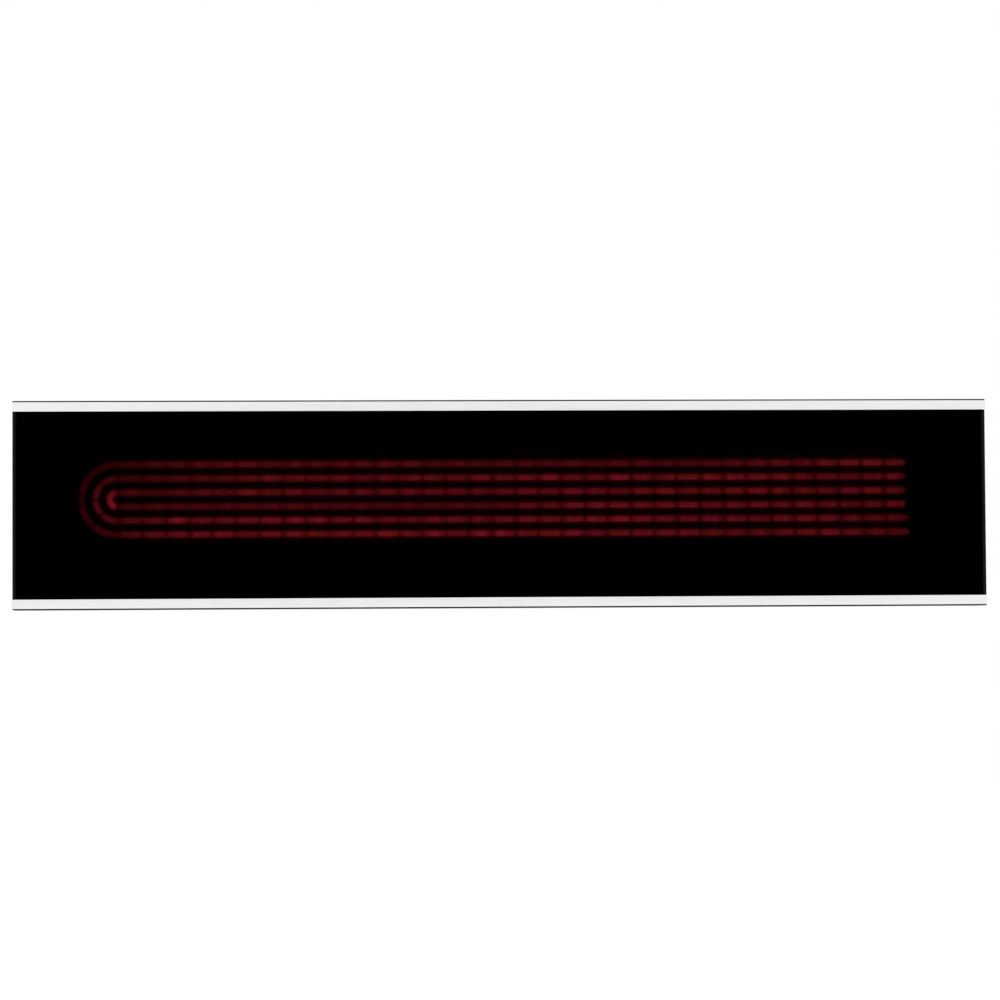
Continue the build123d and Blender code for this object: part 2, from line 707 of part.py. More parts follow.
def heat_shield():
    """Thin steel sheet with lips turned back, on the carriers' webs."""
    y = SHIELD_Y + SHIELD_T / 2
    z = SHIELD_HALF
    points = [(y + SHIELD_LIP, z), (y, z), (y, -z), (y + SHIELD_LIP, -z)]
    section = trace(FilletPolyline(*points, radius=1.5), SHIELD_T)
    shield = along_x(section, BOARD_LEFT, SHIELD_RIGHT)
    holes = shield_screw_places() + [(x, 0.0) for x in cutout_screw_x()]
    for x, z in holes:
        shield -= along_y(disc(x, z, M3[0] + SCREW_PLAY), SHIELD_Y, SHIELD_BACK_Y)
    return shield


def shield_screws():
    """M3 screws of the shield, and two more through the cutout's flange."""
    length = SHIELD_SCREW_LENGTH
    plate_y = SHIELD_BACK_Y + CUTOUT_PLATE_T
    screws = [pan_screw(x, SHIELD_BACK_Y, z, M3, length) for x, z in shield_screw_places()]
    screws += [pan_screw(x, plate_y, 0.0, M3, length) for x in cutout_screw_x()]
    return group(screws)


# ---------------------------------------------------------------- electrical parts
def over_temperature_cutout():
    """Bimetal disc switch in a flanged cup on the heat shield."""
    y = SHIELD_BACK_Y
    plate = Pos(CUTOUT_X, 0) * RectangleRounded(CUTOUT_SCREWS + 8, CUTOUT_D - 2, 4)
    for x in cutout_screw_x():
        plate -= disc(x, 0, M3[0] + SCREW_PLAY)
    body = along_y(plate, y, y + CUTOUT_PLATE_T)
    body += along_y(disc(CUTOUT_X, 0, CUTOUT_D / 2), y, y + CUTOUT_CUP)
    return body + along_y(disc(CUTOUT_X, 0, CUTOUT_D / 2 - 0.6), y + CUTOUT_CUP, y + CUTOUT_H)


def cutout_blades():
    """Flat brass blades on the back of the cutout."""
    y = SHIELD_BACK_Y + CUTOUT_H
    half = BLADE_WIDTH / 2
    blade = rect(CUTOUT_X - 5, CUTOUT_X + BLADE_REACH, BLADE_Z - half, BLADE_Z + half)
    upper = along_y(blade, y, y + BLADE_T)
    return group([upper, upside_down(upper)])


def block_screw_x():
    return [COVER_X - POLE_PITCH / 2, COVER_X + POLE_PITCH / 2]


def pole_x():
    return [COVER_X - POLE_PITCH, COVER_X, COVER_X + POLE_PITCH]


def insert_block(x, play):
    half = INSERT_HALF + play
    wide = rect(x - half, x + half, WIRE_Y - half, WIRE_Y + half)
    return along_z(wide, BLOCK_BOTTOM + 2, BLOCK_BOTTOM + BLOCK_HEIGHT - 2)


def terminal_block():
    """Three-pole ceramic block with a pocket for each brass insert."""
    back = BACK_Y + BLOCK_DEPTH
    face = Pos(COVER_X, BLOCK_Z) * RectangleRounded(BLOCK_LENGTH, BLOCK_HEIGHT, 2.0)
    body = along_y(face, BACK_Y, back)
    for x in pole_x():
        wire_hole = disc(x, WIRE_Y, LEAD_D / 2 + 2 * SCREW_PLAY)
        body -= insert_block(x, INSERT_PLAY)
        body -= along_z(wire_hole, BLOCK_BOTTOM, BLOCK_BOTTOM + BLOCK_HEIGHT)
        for z in clamp_screw_z():
            body -= along_y(disc(x, z, CLAMP[1] + 3 * SCREW_PLAY), WIRE_Y, back)
    for x in block_screw_x():
        body -= along_y(disc(x, BLOCK_Z, M3[0] + SCREW_PLAY), BACK_Y, back)
        body -= along_y(disc(x, BLOCK_Z, M3[1] + 2 * SCREW_PLAY), back - BLOCK_SINK, back)
    return body


def clamp_screw_z():
    return [BLOCK_Z - CLAMP_SPACING / 2, BLOCK_Z + CLAMP_SPACING / 2]


def terminal_inserts():
    """Brass tunnels with a bore for the wires and a hole for each clamp screw."""
    inserts = []
    for x in pole_x():
        insert = insert_block(x, 0.0)
        insert -= along_z(disc(x, WIRE_Y, LEAD_D / 2 + SCREW_PLAY), -TOP, TOP)
        for z in clamp_screw_z():
            insert -= along_y(disc(x, z, CLAMP[0] + TAPPED_PLAY), WIRE_Y, BACK_Y + BLOCK_DEPTH)
        inserts.append(insert)
    return group(inserts)


def terminal_clamp_screws():
    places = [(x, z) for x in pole_x() for z in clamp_screw_z()]
    face_y = WIRE_Y + INSERT_HALF
    return group([pan_screw(x, face_y, z, CLAMP, CLAMP_LENGTH) for x, z in places])


def terminal_block_screws():
    seat = BACK_Y + BLOCK_DEPTH - BLOCK_SINK
    length = BLOCK_DEPTH - BLOCK_SINK + SHEET_T + 2
    return group([pan_screw(x, seat, BLOCK_Z, M3, length) for x in block_screw_x()])


def lead_live_in():
    """Insulated lead from the block's first pole to the cutout."""
    y_blade = SHIELD_BACK_Y + CUTOUT_H + BLADE_T / 2
    x_hole = COVER_X - 3.0
    route = [
        (CUTOUT_X + BLADE_REACH, y_blade, -BLADE_Z),
        (CUTOUT_X + BLADE_REACH + 20, y_blade, -BLADE_Z),
        (x_hole, y_blade, GROMMET_Z),
        (x_hole, WIRE_Y, GROMMET_Z),
        (pole_x()[0], WIRE_Y, BLOCK_BOTTOM - 7),
        (pole_x()[0], WIRE_Y, BLOCK_BOTTOM + 3),
    ]
    return tube_along(route, [14.0, 6.0, 5.0, 5.0], LEAD_D / 2)


def lead_live_out():
    """Lead from the cutout to the pin of the first row."""
    y_blade = SHIELD_BACK_Y + CUTOUT_H + BLADE_T / 2
    y_tag = TAG_Y + TAG_T / 2
    tag_x = PIN_X - TAG_REACH
    route = [
        (CUTOUT_X + BLADE_REACH, y_blade, BLADE_Z),
        (CUTOUT_X + BLADE_REACH + 18, y_blade, BLADE_Z),
        (tag_x - 18, y_tag, ROW_Z[0]),
        (tag_x, y_tag, ROW_Z[0]),
    ]
    return tube_along(route, [12.0, 12.0], LEAD_D / 2)


def lead_neutral():
    """Lead from the block's second pole to the pin of the fourth row."""
    x_hole = COVER_X + 3.0
    y_tag = TAG_Y + TAG_T / 2
    route = [
        (PIN_X - TAG_REACH, y_tag, ROW_Z[3]),
        (x_hole, y_tag, ROW_Z[3]),
        (x_hole, y_tag + 11, GROMMET_Z),
        (x_hole, WIRE_Y, GROMMET_Z),
        (pole_x()[1], WIRE_Y, BLOCK_BOTTOM - 8),
        (pole_x()[1], WIRE_Y, BLOCK_BOTTOM + 3),
    ]
    return tube_along(route, [4.0, 4.0, 4.0, 4.0], LEAD_D / 2)


def lead_earth():
    """Lead from the block's third pole to the earth stud on the casing."""
    y_tag = EARTH_TAG_Y + TAG_T / 2
    route = [
        (EARTH_X - TAG_REACH, y_tag, EARTH_Z),
        (pole_x()[2] + 4, y_tag, EARTH_Z),
        (pole_x()[2], WIRE_Y, BLOCK_BOTTOM - 12),
        (pole_x()[2], WIRE_Y, BLOCK_BOTTOM + 3),
    ]
    return tube_along(route, [5.0, 6.0], LEAD_D / 2)


def earth_stud():
    """M5 brass stud through the casing, with a nut on each side of it and one on the tag."""
    across, height = EARTH_NUT
    front = BACK_Y - SHEET_T
    tag_back = EARTH_TAG_Y + TAG_T
    stud = along_y(disc(EARTH_X, EARTH_Z, M5_R), front - height - 2, tag_back + height + 2)
    for y0 in (front - height, tag_back):
        stud += along_y(hexagon(EARTH_X, EARTH_Z, across), y0, y0 + height)
    return stud + along_y(disc(EARTH_X, EARTH_Z, 2 * M5_R), BACK_Y, EARTH_TAG_Y)


def wire_grommet():
    """Rubber ring in the casing's wire hole."""
    y0 = BACK_Y - SHEET_T / 2 - GROMMET_T / 2
    y1 = y0 + GROMMET_T
    ring = along_y(disc(COVER_X, GROMMET_Z, GROMMET_OD / 2), y0, y1)
    ring -= along_y(
        ring_face(COVER_X, GROMMET_Z, GROMMET_OD, GROMMET_HOLE / 2), BACK_Y - SHEET_T, BACK_Y
    )
    return ring - along_y(disc(COVER_X, GROMMET_Z, GROMMET_BORE / 2), y0, y1)


# ---------------------------------------------------------------- terminal cover and gland
def cover_outline(grow):
    return Pos(COVER_X, 0) * RectangleRounded(
        COVER_LENGTH + 2 * grow, COVER_HEIGHT + 2 * grow, COVER_CORNER + grow
    )


def cover_screw_places():
    half_x = COVER_LENGTH / 2 + COVER_FLANGE / 2
    half_z = COVER_HEIGHT / 2 + COVER_FLANGE / 2
    return [(COVER_X + i * half_x, k * half_z) for i in (-1, 1) for k in (-1, 1)]


def terminal_cover():
    """Drawn sheet cover with a flange all round."""
    seat = BACK_Y + COVER_GASKET_T
    back = BACK_Y + COVER_RISE
    cover = along_y(cover_outline(0), seat, back)
    cover = fillet(cover.faces().sort_by(Axis.Y)[-1].edges(), COVER_CORNER - 1)
    cover += along_y(cover_outline(COVER_FLANGE), seat, seat + SHEET_T)
    inside = along_y(cover_outline(-SHEET_T), seat, back - SHEET_T)
    inside = fillet(inside.faces().sort_by(Axis.Y)[-1].edges(), COVER_CORNER - SHEET_T - 1)
    cover -= inside
    for x, z in cover_screw_places():
        cover -= along_y(disc(x, z, M4[0] + SCREW_PLAY), seat, seat + SHEET_T)
    hole = disc(COVER_X, GLAND_Y, GLAND_THREAD / 2 + SCREW_PLAY)
    return cover - along_z(hole, COVER_BOTTOM - 1, COVER_BOTTOM + 2 * SHEET_T)


def cover_gasket():
    face = cover_outline(COVER_FLANGE - 0.5) - cover_outline(0)
    for x, z in cover_screw_places():
        face -= disc(x, z, M4[0] + 2 * SCREW_PLAY)
    return along_y(face, BACK_Y, BACK_Y + COVER_GASKET_T)


def cover_screws():
    seat = BACK_Y + COVER_GASKET_T + SHEET_T
    length = COVER_GASKET_T + 2 * SHEET_T + 4
    return group([pan_screw(x, seat, z, M4, length) for x, z in cover_screw_places()])


def gland_body():
    """M16 body: thread through the cover, hexagon outside it, threaded barrel below."""
    z = COVER_BOTTOM
    top = z + SHEET_T + GLAND_ABOVE
    end = z - GLAND_BARREL
    across, height = GLAND_HEX
    body = along_z(disc(COVER_X, GLAND_Y, GLAND_THREAD / 2), end, top)
    body += along_z(hexagon(COVER_X, GLAND_Y, across), z - height, z)
    body -= along_z(disc(COVER_X, GLAND_Y, CABLE_BORE / 2), end, top)
    return body - along_z(disc(COVER_X, GLAND_Y, SEAL_R + SCREW_PLAY), end, z - SEAL_TOP)


def gland_locknut():
    z = COVER_BOTTOM + SHEET_T
    across, height = LOCKNUT
    hole = disc(COVER_X, GLAND_Y, GLAND_THREAD / 2 + TAPPED_PLAY)
    return along_z(hexagon(COVER_X, GLAND_Y, across) - hole, z, z + height)


def gland_seal():
    face = ring_face(COVER_X, GLAND_Y, SEAL_R, CABLE_BORE / 2)
    return along_z(face, COVER_BOTTOM - SEAL_END, COVER_BOTTOM - SEAL_TOP)


def gland_dome_nut():
    """Hexagon that narrows to a domed mouth around the cable."""
    top = COVER_BOTTOM - DOME_TOP
    end = COVER_BOTTOM - DOME_END
    inner = GLAND_THREAD / 2 + SCREW_PLAY
    axis = Axis((COVER_X, GLAND_Y, 0), (0, 0, 1))
    nut = along_z(hexagon(COVER_X, GLAND_Y, GLAND_HEX[0]), end, top)
    dome = Polyline((DOME_R, top), (0, top), (0, end), (0.55 * DOME_R, end))
    dome += ThreePointArc((0.55 * DOME_R, end), (0.84 * DOME_R, end + 2.5), (DOME_R, end + 7))
    dome += Line((DOME_R, end + 7), (DOME_R, top))
    bore = Polyline(
        (0, end), (DOME_MOUTH, end), (DOME_MOUTH, end + 1), (inner, end + 7), (inner, top), (0, top),
        close=True,
    )
    nut &= revolve(section_at(make_face(dome.edges())), axis)
    return nut - revolve(section_at(make_face(bore.edges())), axis)


def section_at(face):
    """Move a (radius, z) section onto the gland's axis."""
    return Plane(origin=(COVER_X, GLAND_Y, 0), x_dir=(1, 0, 0), z_dir=(0, -1, 0)) * face


# ---------------------------------------------------------------- tilt arms and wall brackets
def arm_screw_places():
    half = BRACKET_SPACING / 2
    return [
        (side * half + i * ARM_SCREW_X, k * ARM_SCREW_Z)
        for side in (-1, 1)
        for i in (-1, 1)
        for k in (-1, 1)
    ]


def channel(half_width, web_y, tip_y, height):
    """U-shaped folded plate, open away from its web, in plan."""
    x = half_width - PLATE_T / 2
    points = [(-x, tip_y), (-x, web_y), (x, web_y), (x, tip_y)]
    plan = trace(FilletPolyline(*points, radius=PLATE_T), PLATE_T)
    return along_z(plan, -height / 2, height / 2)


def hull_face(*faces):
    return make_hull([edge for face in faces for edge in face.edges()])


def tilt_arm_right():
    """Channel screwed to the casing; its legs reach back to the pivot and the lock bolt."""
    tip = LOCK_Y + ARM_TAIL + 1
    arm = channel(ARM_WIDTH / 2, BACK_Y + PLATE_T / 2, tip, ARM_HEIGHT)
    base = rect(BACK_Y, BACK_Y + PLATE_T, -ARM_HEIGHT / 2 + 10, ARM_HEIGHT / 2 - 10)
    leg = hull_face(base, disc(PIVOT_Y, 0, ARM_EYE), disc(LOCK_Y, LOCK_Z, ARM_TAIL))
    web = rect(BACK_Y, BACK_Y + PLATE_T, -ARM_HEIGHT / 2, ARM_HEIGHT / 2)
    arm &= along_x(leg + web, -ARM_WIDTH, ARM_WIDTH)
    holes = disc(PIVOT_Y, 0, M8_R + PIVOT_PLAY) + disc(LOCK_Y, LOCK_Z, M8_R + SCREW_PLAY)
    arm -= along_x(holes, -ARM_WIDTH, ARM_WIDTH)
    for i in (-1, 1):
        for k in (-1, 1):
            hole = disc(i * ARM_SCREW_X, k * ARM_SCREW_Z, M6[0] + SCREW_PLAY)
            arm -= along_y(hole, BACK_Y, BACK_Y + PLATE_T)
    return Pos(BRACKET_SPACING / 2, 0, 0) * arm


def wall_bracket_right():
    """Channel on the wall; each ear has the pivot hole and an arc slot for the lock bolt."""
    bracket = channel(EAR_OUT, -PLATE_T / 2, PIVOT_Y - EAR_EYE - 1, WALL_PLATE_HEIGHT)
    base = rect(-PLATE_T, 0, -EAR_BASE / 2, EAR_BASE / 2)
    ear = hull_face(base, disc(PIVOT_Y, 0, EAR_EYE))
    web = rect(-PLATE_T, 0, -WALL_PLATE_HEIGHT / 2, WALL_PLATE_HEIGHT / 2)
    bracket &= along_x(ear + web, -EAR_OUT, EAR_OUT)
    arc = CenterArc((PIVOT_Y, 0), LOCK_RADIUS, -TILT_RANGE / 2, TILT_RANGE)
    cut = disc(PIVOT_Y, 0, M8_R + SCREW_PLAY) + SlotArc(arc, 2 * (M8_R + EAR_PLAY))
    bracket -= along_x(cut, -EAR_OUT, EAR_OUT)
    for k in (-1, 1):
        slot = Pos(0, k * WALL_SLOT_PITCH / 2) * SlotOverall(WALL_SLOT_LENGTH, WALL_SLOT_WIDTH)
        bracket -= along_y(slot, -PLATE_T, 0)
    return Pos(BRACKET_SPACING / 2, 0, 0) * bracket


def backing_plates():
    """Tapped plates inside the casing, behind each tilt arm."""
    y1 = BACK_Y - SHEET_T
    face = Pos(BRACKET_SPACING / 2, 0) * RectangleRounded(BACKING_LENGTH, BACKING_HEIGHT, 5)
    for x, z in arm_screw_places():
        face -= disc(x, z, M6[0] + TAPPED_PLAY)
    plate = along_y(face, y1 - PLATE_T, y1)
    return group([plate, other_end(plate)])


def tilt_arm_screws():
    """M6 button-head screws through arm, casing and backing plate."""
    seat = BACK_Y + PLATE_T
    length = 2 * PLATE_T + SHEET_T + 2
    return group([pan_screw(x, seat, z, M6, length) for x, z in arm_screw_places()])


def hex_bolt(y, z, washer_play):
    """M8 bolt across a right-hand bracket, head outwards."""
    centre = BRACKET_SPACING / 2
    grip = EAR_OUT + washer_play + M8_WASHER[1]
    shank = along_x(disc(y, z, M8_R), centre - grip - M8_NUT - BOLT_END, centre + grip)
    return shank + along_x(hexagon(y, z, M8_HEX), centre + grip, centre + grip + M8_HEAD)


def hex_nut(y, z, washer_play):
    """M8 nut on the inner end of the bolt."""
    face_x = BRACKET_SPACING / 2 - EAR_OUT - washer_play - M8_WASHER[1]
    face = hexagon(y, z, M8_HEX) - disc(y, z, M8_R + TAPPED_PLAY)
    return along_x(face, face_x - M8_NUT, face_x)


def washer_pair(y, z, washer_play):
    outer, thick = M8_WASHER
    near = EAR_OUT + washer_play
    centre = BRACKET_SPACING / 2
    face = ring_face(y, z, outer, M8_R + 2 * SCREW_PLAY)
    right = along_x(face, centre + near, centre + near + thick)
    left = along_x(face, centre - near - thick, centre - near)
    return [right, left]


def spacer(y, z):
    """Tube between the legs of an arm, so that the bolt can be pulled tight."""
    half = ARM_WIDTH / 2 - PLATE_T - SPACER_PLAY
    centre = BRACKET_SPACING / 2
    return along_x(ring_face(y, z, SPACER_R, M8_R + SCREW_PLAY), centre - half, centre + half)


def both_sides(pieces):
    return group(pieces + [other_end(piece) for piece in pieces])


# ---------------------------------------------------------------- all nodes
PARTS = {
    "glass_front": glass_front(),
    "glass_gasket_top": glass_gasket_top(),
    "glass_gasket_bottom": upside_down(glass_gasket_top()),
    "top_trim": top_trim(),
    "bottom_trim": upside_down(top_trim()),
    "trim_screws": trim_screws(),
    "rear_casing": rear_casing(),
    "right_end_cap": right_end_cap(),
    "left_end_cap": other_end(right_end_cap()),
    "end_cap_screws": end_cap_screws(),
    "outer_coil": coil(LOOP_RADII[2]),
    "middle_coil": coil(LOOP_RADII[1]),
    "inner_coil": coil(LOOP_RADII[0]),
    "coil_hold_down_bars": coil_hold_down_bars(),
    "insulation_board": insulation_board(),
    "insulation_rim": insulation_rim(),
    "element_pan": element_pan(),
    "coil_pins": coil_pins(),
    "pin_beads": pin_beads(),
    "link_bars": link_bars(),
    "ring_terminals": ring_terminals(),
    "pin_nuts": pin_nuts(),
    "element_carriers": element_carriers(),
    "carrier_screws": carrier_screws(),
    "leaf_springs": leaf_springs(),
    "heat_shield": heat_shield(),
    "shield_screws": shield_screws(),
    "over_temperature_cutout": over_temperature_cutout(),
    "cutout_blades": cutout_blades(),
    "terminal_block": terminal_block(),
    "terminal_inserts": terminal_inserts(),
    "terminal_clamp_screws": terminal_clamp_screws(),
    "terminal_block_screws": terminal_block_screws(),
    "lead_live_in": lead_live_in(),
    "lead_live_out": lead_live_out(),
    "lead_neutral": lead_neutral(),
    "lead_earth": lead_earth(),
    "earth_stud": earth_stud(),
    "wire_grommet": wire_grommet(),
    "terminal_cover": terminal_cover(),
    "cover_gasket": cover_gasket(),
    "cover_screws": cover_screws(),
    "gland_body": gland_body(),
    "gland_locknut": gland_locknut(),
    "gland_seal": gland_seal(),
    "gland_dome_nut": gland_dome_nut(),
    "backing_plates": backing_plates(),
    "tilt_arm_right": tilt_arm_right(),
    "tilt_arm_left": other_end(tilt_arm_right()),
    "tilt_arm_screws": tilt_arm_screws(),
    "wall_bracket_right": wall_bracket_right(),
    "wall_bracket_left": other_end(wall_bracket_right()),
    "pivot_bolts": both_sides([hex_bolt(*PIVOT, 0.0)]),
    "pivot_nuts": both_sides([hex_nut(*PIVOT, 0.0)]),
    "pivot_washers": both_sides(washer_pair(*PIVOT, 0.0)),
    "pivot_spacers": both_sides([spacer(*PIVOT)]),
    "lock_bolts": both_sides([hex_bolt(*LOCK, LOCK_WASHER_PLAY)]),
    "lock_nuts": both_sides([hex_nut(*LOCK, LOCK_WASHER_PLAY)]),
    "lock_washers": both_sides(washer_pair(*LOCK, LOCK_WASHER_PLAY)),
    "lock_spacers": both_sides([spacer(*LOCK)]),
}

os.makedirs("parts", exist_ok=True)
for node, part in PARTS.items():
    export_step(group([part]), f"parts/{node}.step")
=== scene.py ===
# %% [markdown]
# # A wall-mounted infrared strip heater
# The heater is about a metre long: a black glass front between two bright aluminium trims, coils of
# glowing wire behind the glass, a black casing around them, and two tilting brackets of zinc-plated
# steel at the back. The solids come from the CAD model at their real size. This lesson gives each one
# its finish, and remakes in finer detail the pieces whose CAD solids are plain.

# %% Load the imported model
import json
import math

import bmesh
import bpy
import numpy as np
from mathutils import Matrix, Vector


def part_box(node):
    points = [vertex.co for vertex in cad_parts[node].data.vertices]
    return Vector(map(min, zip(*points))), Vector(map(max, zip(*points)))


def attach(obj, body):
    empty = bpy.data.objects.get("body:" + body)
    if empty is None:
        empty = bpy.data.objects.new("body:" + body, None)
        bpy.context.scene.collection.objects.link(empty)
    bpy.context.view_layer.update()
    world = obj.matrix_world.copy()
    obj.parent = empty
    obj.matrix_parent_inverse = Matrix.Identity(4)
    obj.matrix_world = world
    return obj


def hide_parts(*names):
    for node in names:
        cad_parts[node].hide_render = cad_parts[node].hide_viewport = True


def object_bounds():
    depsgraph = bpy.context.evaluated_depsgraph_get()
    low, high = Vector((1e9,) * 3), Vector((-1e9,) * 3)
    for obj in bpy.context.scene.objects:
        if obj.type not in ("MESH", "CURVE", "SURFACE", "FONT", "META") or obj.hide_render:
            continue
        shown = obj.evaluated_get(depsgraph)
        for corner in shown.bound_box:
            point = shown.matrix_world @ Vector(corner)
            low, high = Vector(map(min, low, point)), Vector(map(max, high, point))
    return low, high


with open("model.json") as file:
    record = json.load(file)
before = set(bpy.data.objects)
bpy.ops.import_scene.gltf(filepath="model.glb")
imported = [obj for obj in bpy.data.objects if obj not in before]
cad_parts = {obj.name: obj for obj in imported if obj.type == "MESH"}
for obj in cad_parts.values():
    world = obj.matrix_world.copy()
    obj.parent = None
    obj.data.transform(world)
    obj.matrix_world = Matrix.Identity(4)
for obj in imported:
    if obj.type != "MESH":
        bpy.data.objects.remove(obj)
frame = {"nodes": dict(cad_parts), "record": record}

MM = 0.001
cad_low, cad_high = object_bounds()
print("CAD nodes:", len(frame["nodes"]))
print("size in mm:", [round(side / MM, 1) for side in cad_high - cad_low])

# %% [markdown]
# The three coils lie side by side along one nested U: out along the upper rows, round a half circle at
# the left, and back along the lower rows. Many steps below need to know where they run, so that is read
# from the boxes of the CAD coils first.

# %% Where the coils run
boxes = [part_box(node) for node in ("outer_coil", "middle_coil", "inner_coil")]
coil_low, coil_high = boxes[0]
COIL_R = (coil_high.y - coil_low.y) / 2
COIL_Y = (coil_high.y + coil_low.y) / 2
RISE = (coil_high.z + coil_low.z) / 2
COIL_RIGHT = coil_high.x
BEND_X = coil_low.x + (coil_high.z - coil_low.z) / 2
BEND_RADII = [(high.z - low.z) / 2 - COIL_R for low, high in boxes]
ROW_PITCH = BEND_RADII[0] - BEND_RADII[1]
print("bend radii in mm:", [round(r / MM, 2) for r in BEND_RADII], "coil radius", round(COIL_R / MM, 2))

# %% [markdown]
# ## Helpers for colours and materials
# A colour is easiest to write as the hex value that a screen shows. Blender's shaders count light, so
# one function turns hex to linear. A second one adds a shader node, sets its options, and fills its
# inputs with values or with other nodes' outputs. A third one starts a material with one Principled
# shader, which suits every finish here, from rubber to glass.

# %% Colour, node and material helpers
def linear(hex_colour):
    """An sRGB hex colour as linear red, green, blue and alpha."""
    channels = [int(hex_colour[i : i + 2], 16) / 255 for i in (1, 3, 5)]
    straight = [c / 12.92 if c <= 0.04045 else ((c + 0.055) / 1.055) ** 2.4 for c in channels]
    return (*straight, 1.0)


def add(tree, kind, inputs=None, **options):
    """Adds a shader node. An input is a plain value or another node's output."""
    node = tree.nodes.new("ShaderNode" + kind)
    for option, value in options.items():
        setattr(node, option, value)
    for name, value in (inputs or {}).items():
        if isinstance(value, bpy.types.NodeSocket):
            tree.links.new(value, node.inputs[name])
        else:
            node.inputs[name].default_value = value
    return node


def new_material(name, inputs):
    """A material with one Principled shader. Returns it, its node tree and the shader."""
    material = bpy.data.materials.new(name)
    material.use_nodes = True
    tree = material.node_tree
    tree.nodes.clear()
    shader = add(tree, "BsdfPrincipled", inputs)
    add(tree, "OutputMaterial", {"Surface": shader.outputs[0]})
    return material, tree, shader


print("white is", linear("#ffffff"))

# %% [markdown]
# Real finishes are never even. Most patterns here are noise that is read at a size in millimetres,
# stretched where the finish has a direction, as brushed metal does. It is read from the Object
# coordinates, because every piece's own origin is the heater's origin, so the size is the real one.

# %% Pattern helpers
NOISE_SPAN = (0.3, 0.7)  # nearly all values of the noise lie in this span


def grain(tree, size_mm, stretch=(1, 1, 1), detail=3.0):
    """Noise with cells of about size_mm, drawn out along an axis by a stretch above 1."""
    coordinates = add(tree, "TexCoord")
    scale = [1 / (size_mm * MM * s) for s in stretch]
    mapping = add(tree, "Mapping", {"Vector": coordinates.outputs["Object"], "Scale": scale})
    pattern = add(tree, "TexNoise", {"Vector": mapping.outputs[0], "Scale": 1.0, "Detail": detail})
    return pattern.outputs["Fac"]


def wear_in(tree, shader, tone, first, second, marks, roughness, depth_mm):
    """Lets one pattern choose the colour, and another the roughness and a relief of depth_mm."""
    colour = add(tree, "Mix", {0: tone, 6: linear(first), 7: linear(second)}, data_type="RGBA")
    (low, high), (smoothest, roughest) = NOISE_SPAN, roughness
    rough = add(tree, "MapRange", {0: marks, 1: low, 2: high, 3: smoothest, 4: roughest})
    relief = add(tree, "Bump", {"Height": marks, "Distance": depth_mm * MM})
    tree.links.new(colour.outputs[2], shader.inputs["Base Color"])
    tree.links.new(rough.outputs[0], shader.inputs["Roughness"])
    tree.links.new(relief.outputs[0], shader.inputs["Normal"])


print("span of the noise:", NOISE_SPAN)

# %% [markdown]
# ## Glass-ceramic front
# The front is 4 mm of glass-ceramic, which stands the heat of the wires. It is dyed so dark that it
# looks black until something glows behind it, and then it lets through mostly deep red. So it is real
# glass with a very dark colour, not black paint. Its face is polished, with faint patches where it was
# wiped. Its gloss is held low, so that it stays as black as the real pane.

# %% Glass material
def black_glass_ceramic():
    material, tree, shader = new_material("black_glass_ceramic", {
        "Base Color": linear("#271717"),
        "Transmission Weight": 1.0,
        "IOR": 1.3,
    })
    # Polished, but a little less so in patches about 60 mm wide, as from wiping.
    low, high = NOISE_SPAN
    patches = add(tree, "MapRange", {0: grain(tree, 60), 1: low, 2: high, 3: 0.01, 4: 0.05})
    tree.links.new(patches.outputs[0], shader.inputs["Roughness"])
    return material


glass = black_glass_ceramic()
print("glass:", glass.name)

# %% [markdown]
# ## Metals
# The trims are extruded aluminium, polished and then clear anodised: bright, a little soft, with very
# fine lines along the extrusion. The brackets and fasteners are zinc-plated steel, which is greyer and
# slightly blue, with a cloudy look from the plating bath. Inside there are aluminised sheet, a
# heat-resisting alloy, brass and nickel plate.

# %% Metal materials
def anodised_aluminium():
    material, tree, shader = new_material("polished_anodised_aluminium", {"Metallic": 1.0})
    lines = grain(tree, 0.6, stretch=(60, 1, 1))
    clouds = grain(tree, 120, stretch=(3, 1, 1), detail=1.0)
    wear_in(tree, shader, clouds, "#f6f6f6", "#fdfdfd", lines, (0.30, 0.40), 0.004)
    return material


def plated_metal(name, first, second, roughness, cloud_mm):
    """A plated or milled metal with a cloudy tone and marks about half a millimetre wide."""
    material, tree, shader = new_material(name, {"Metallic": 1.0})
    clouds = grain(tree, cloud_mm)
    marks = grain(tree, 0.5)
    wear_in(tree, shader, clouds, first, second, marks, roughness, 0.006)
    return material


aluminium = anodised_aluminium()
plated_plate = plated_metal("zinc_plated_plate", "#aeb2b6", "#c6c8ca", (0.28, 0.42), 14)
print("trims:", aluminium.name, "and brackets:", plated_plate.name)

# %% [markdown]
# ## Painted, moulded and mineral finishes
# The casing and end caps are powder coated: the powder melts to a satin skin with a fine orange peel.
# Rubber, moulded plastic, insulating board and steatite each have their own grain. One function makes
# them all, because they differ only in colour, roughness and the size of that grain. Silicone rubber is
# the first: it seals the glass's long edges, and is dull black with a fine grain from its mould.

# %% Coats, plastics and minerals
def matt_solid(name, first, second, roughness, grain_mm, bump_mm, specular=0.5):
    """A non-metal with two near colours, a grain of a real size and a little relief."""
    material, tree, shader = new_material(name, {"Specular IOR Level": specular, "IOR": 1.5})
    pattern = grain(tree, grain_mm)
    wear_in(tree, shader, pattern, first, second, pattern, roughness, bump_mm)
    return material


rubber = matt_solid("silicone_rubber", "#141414", "#1d1d1d", (0.55, 0.7), 0.8, 0.01)
print("gaskets:", rubber.name)
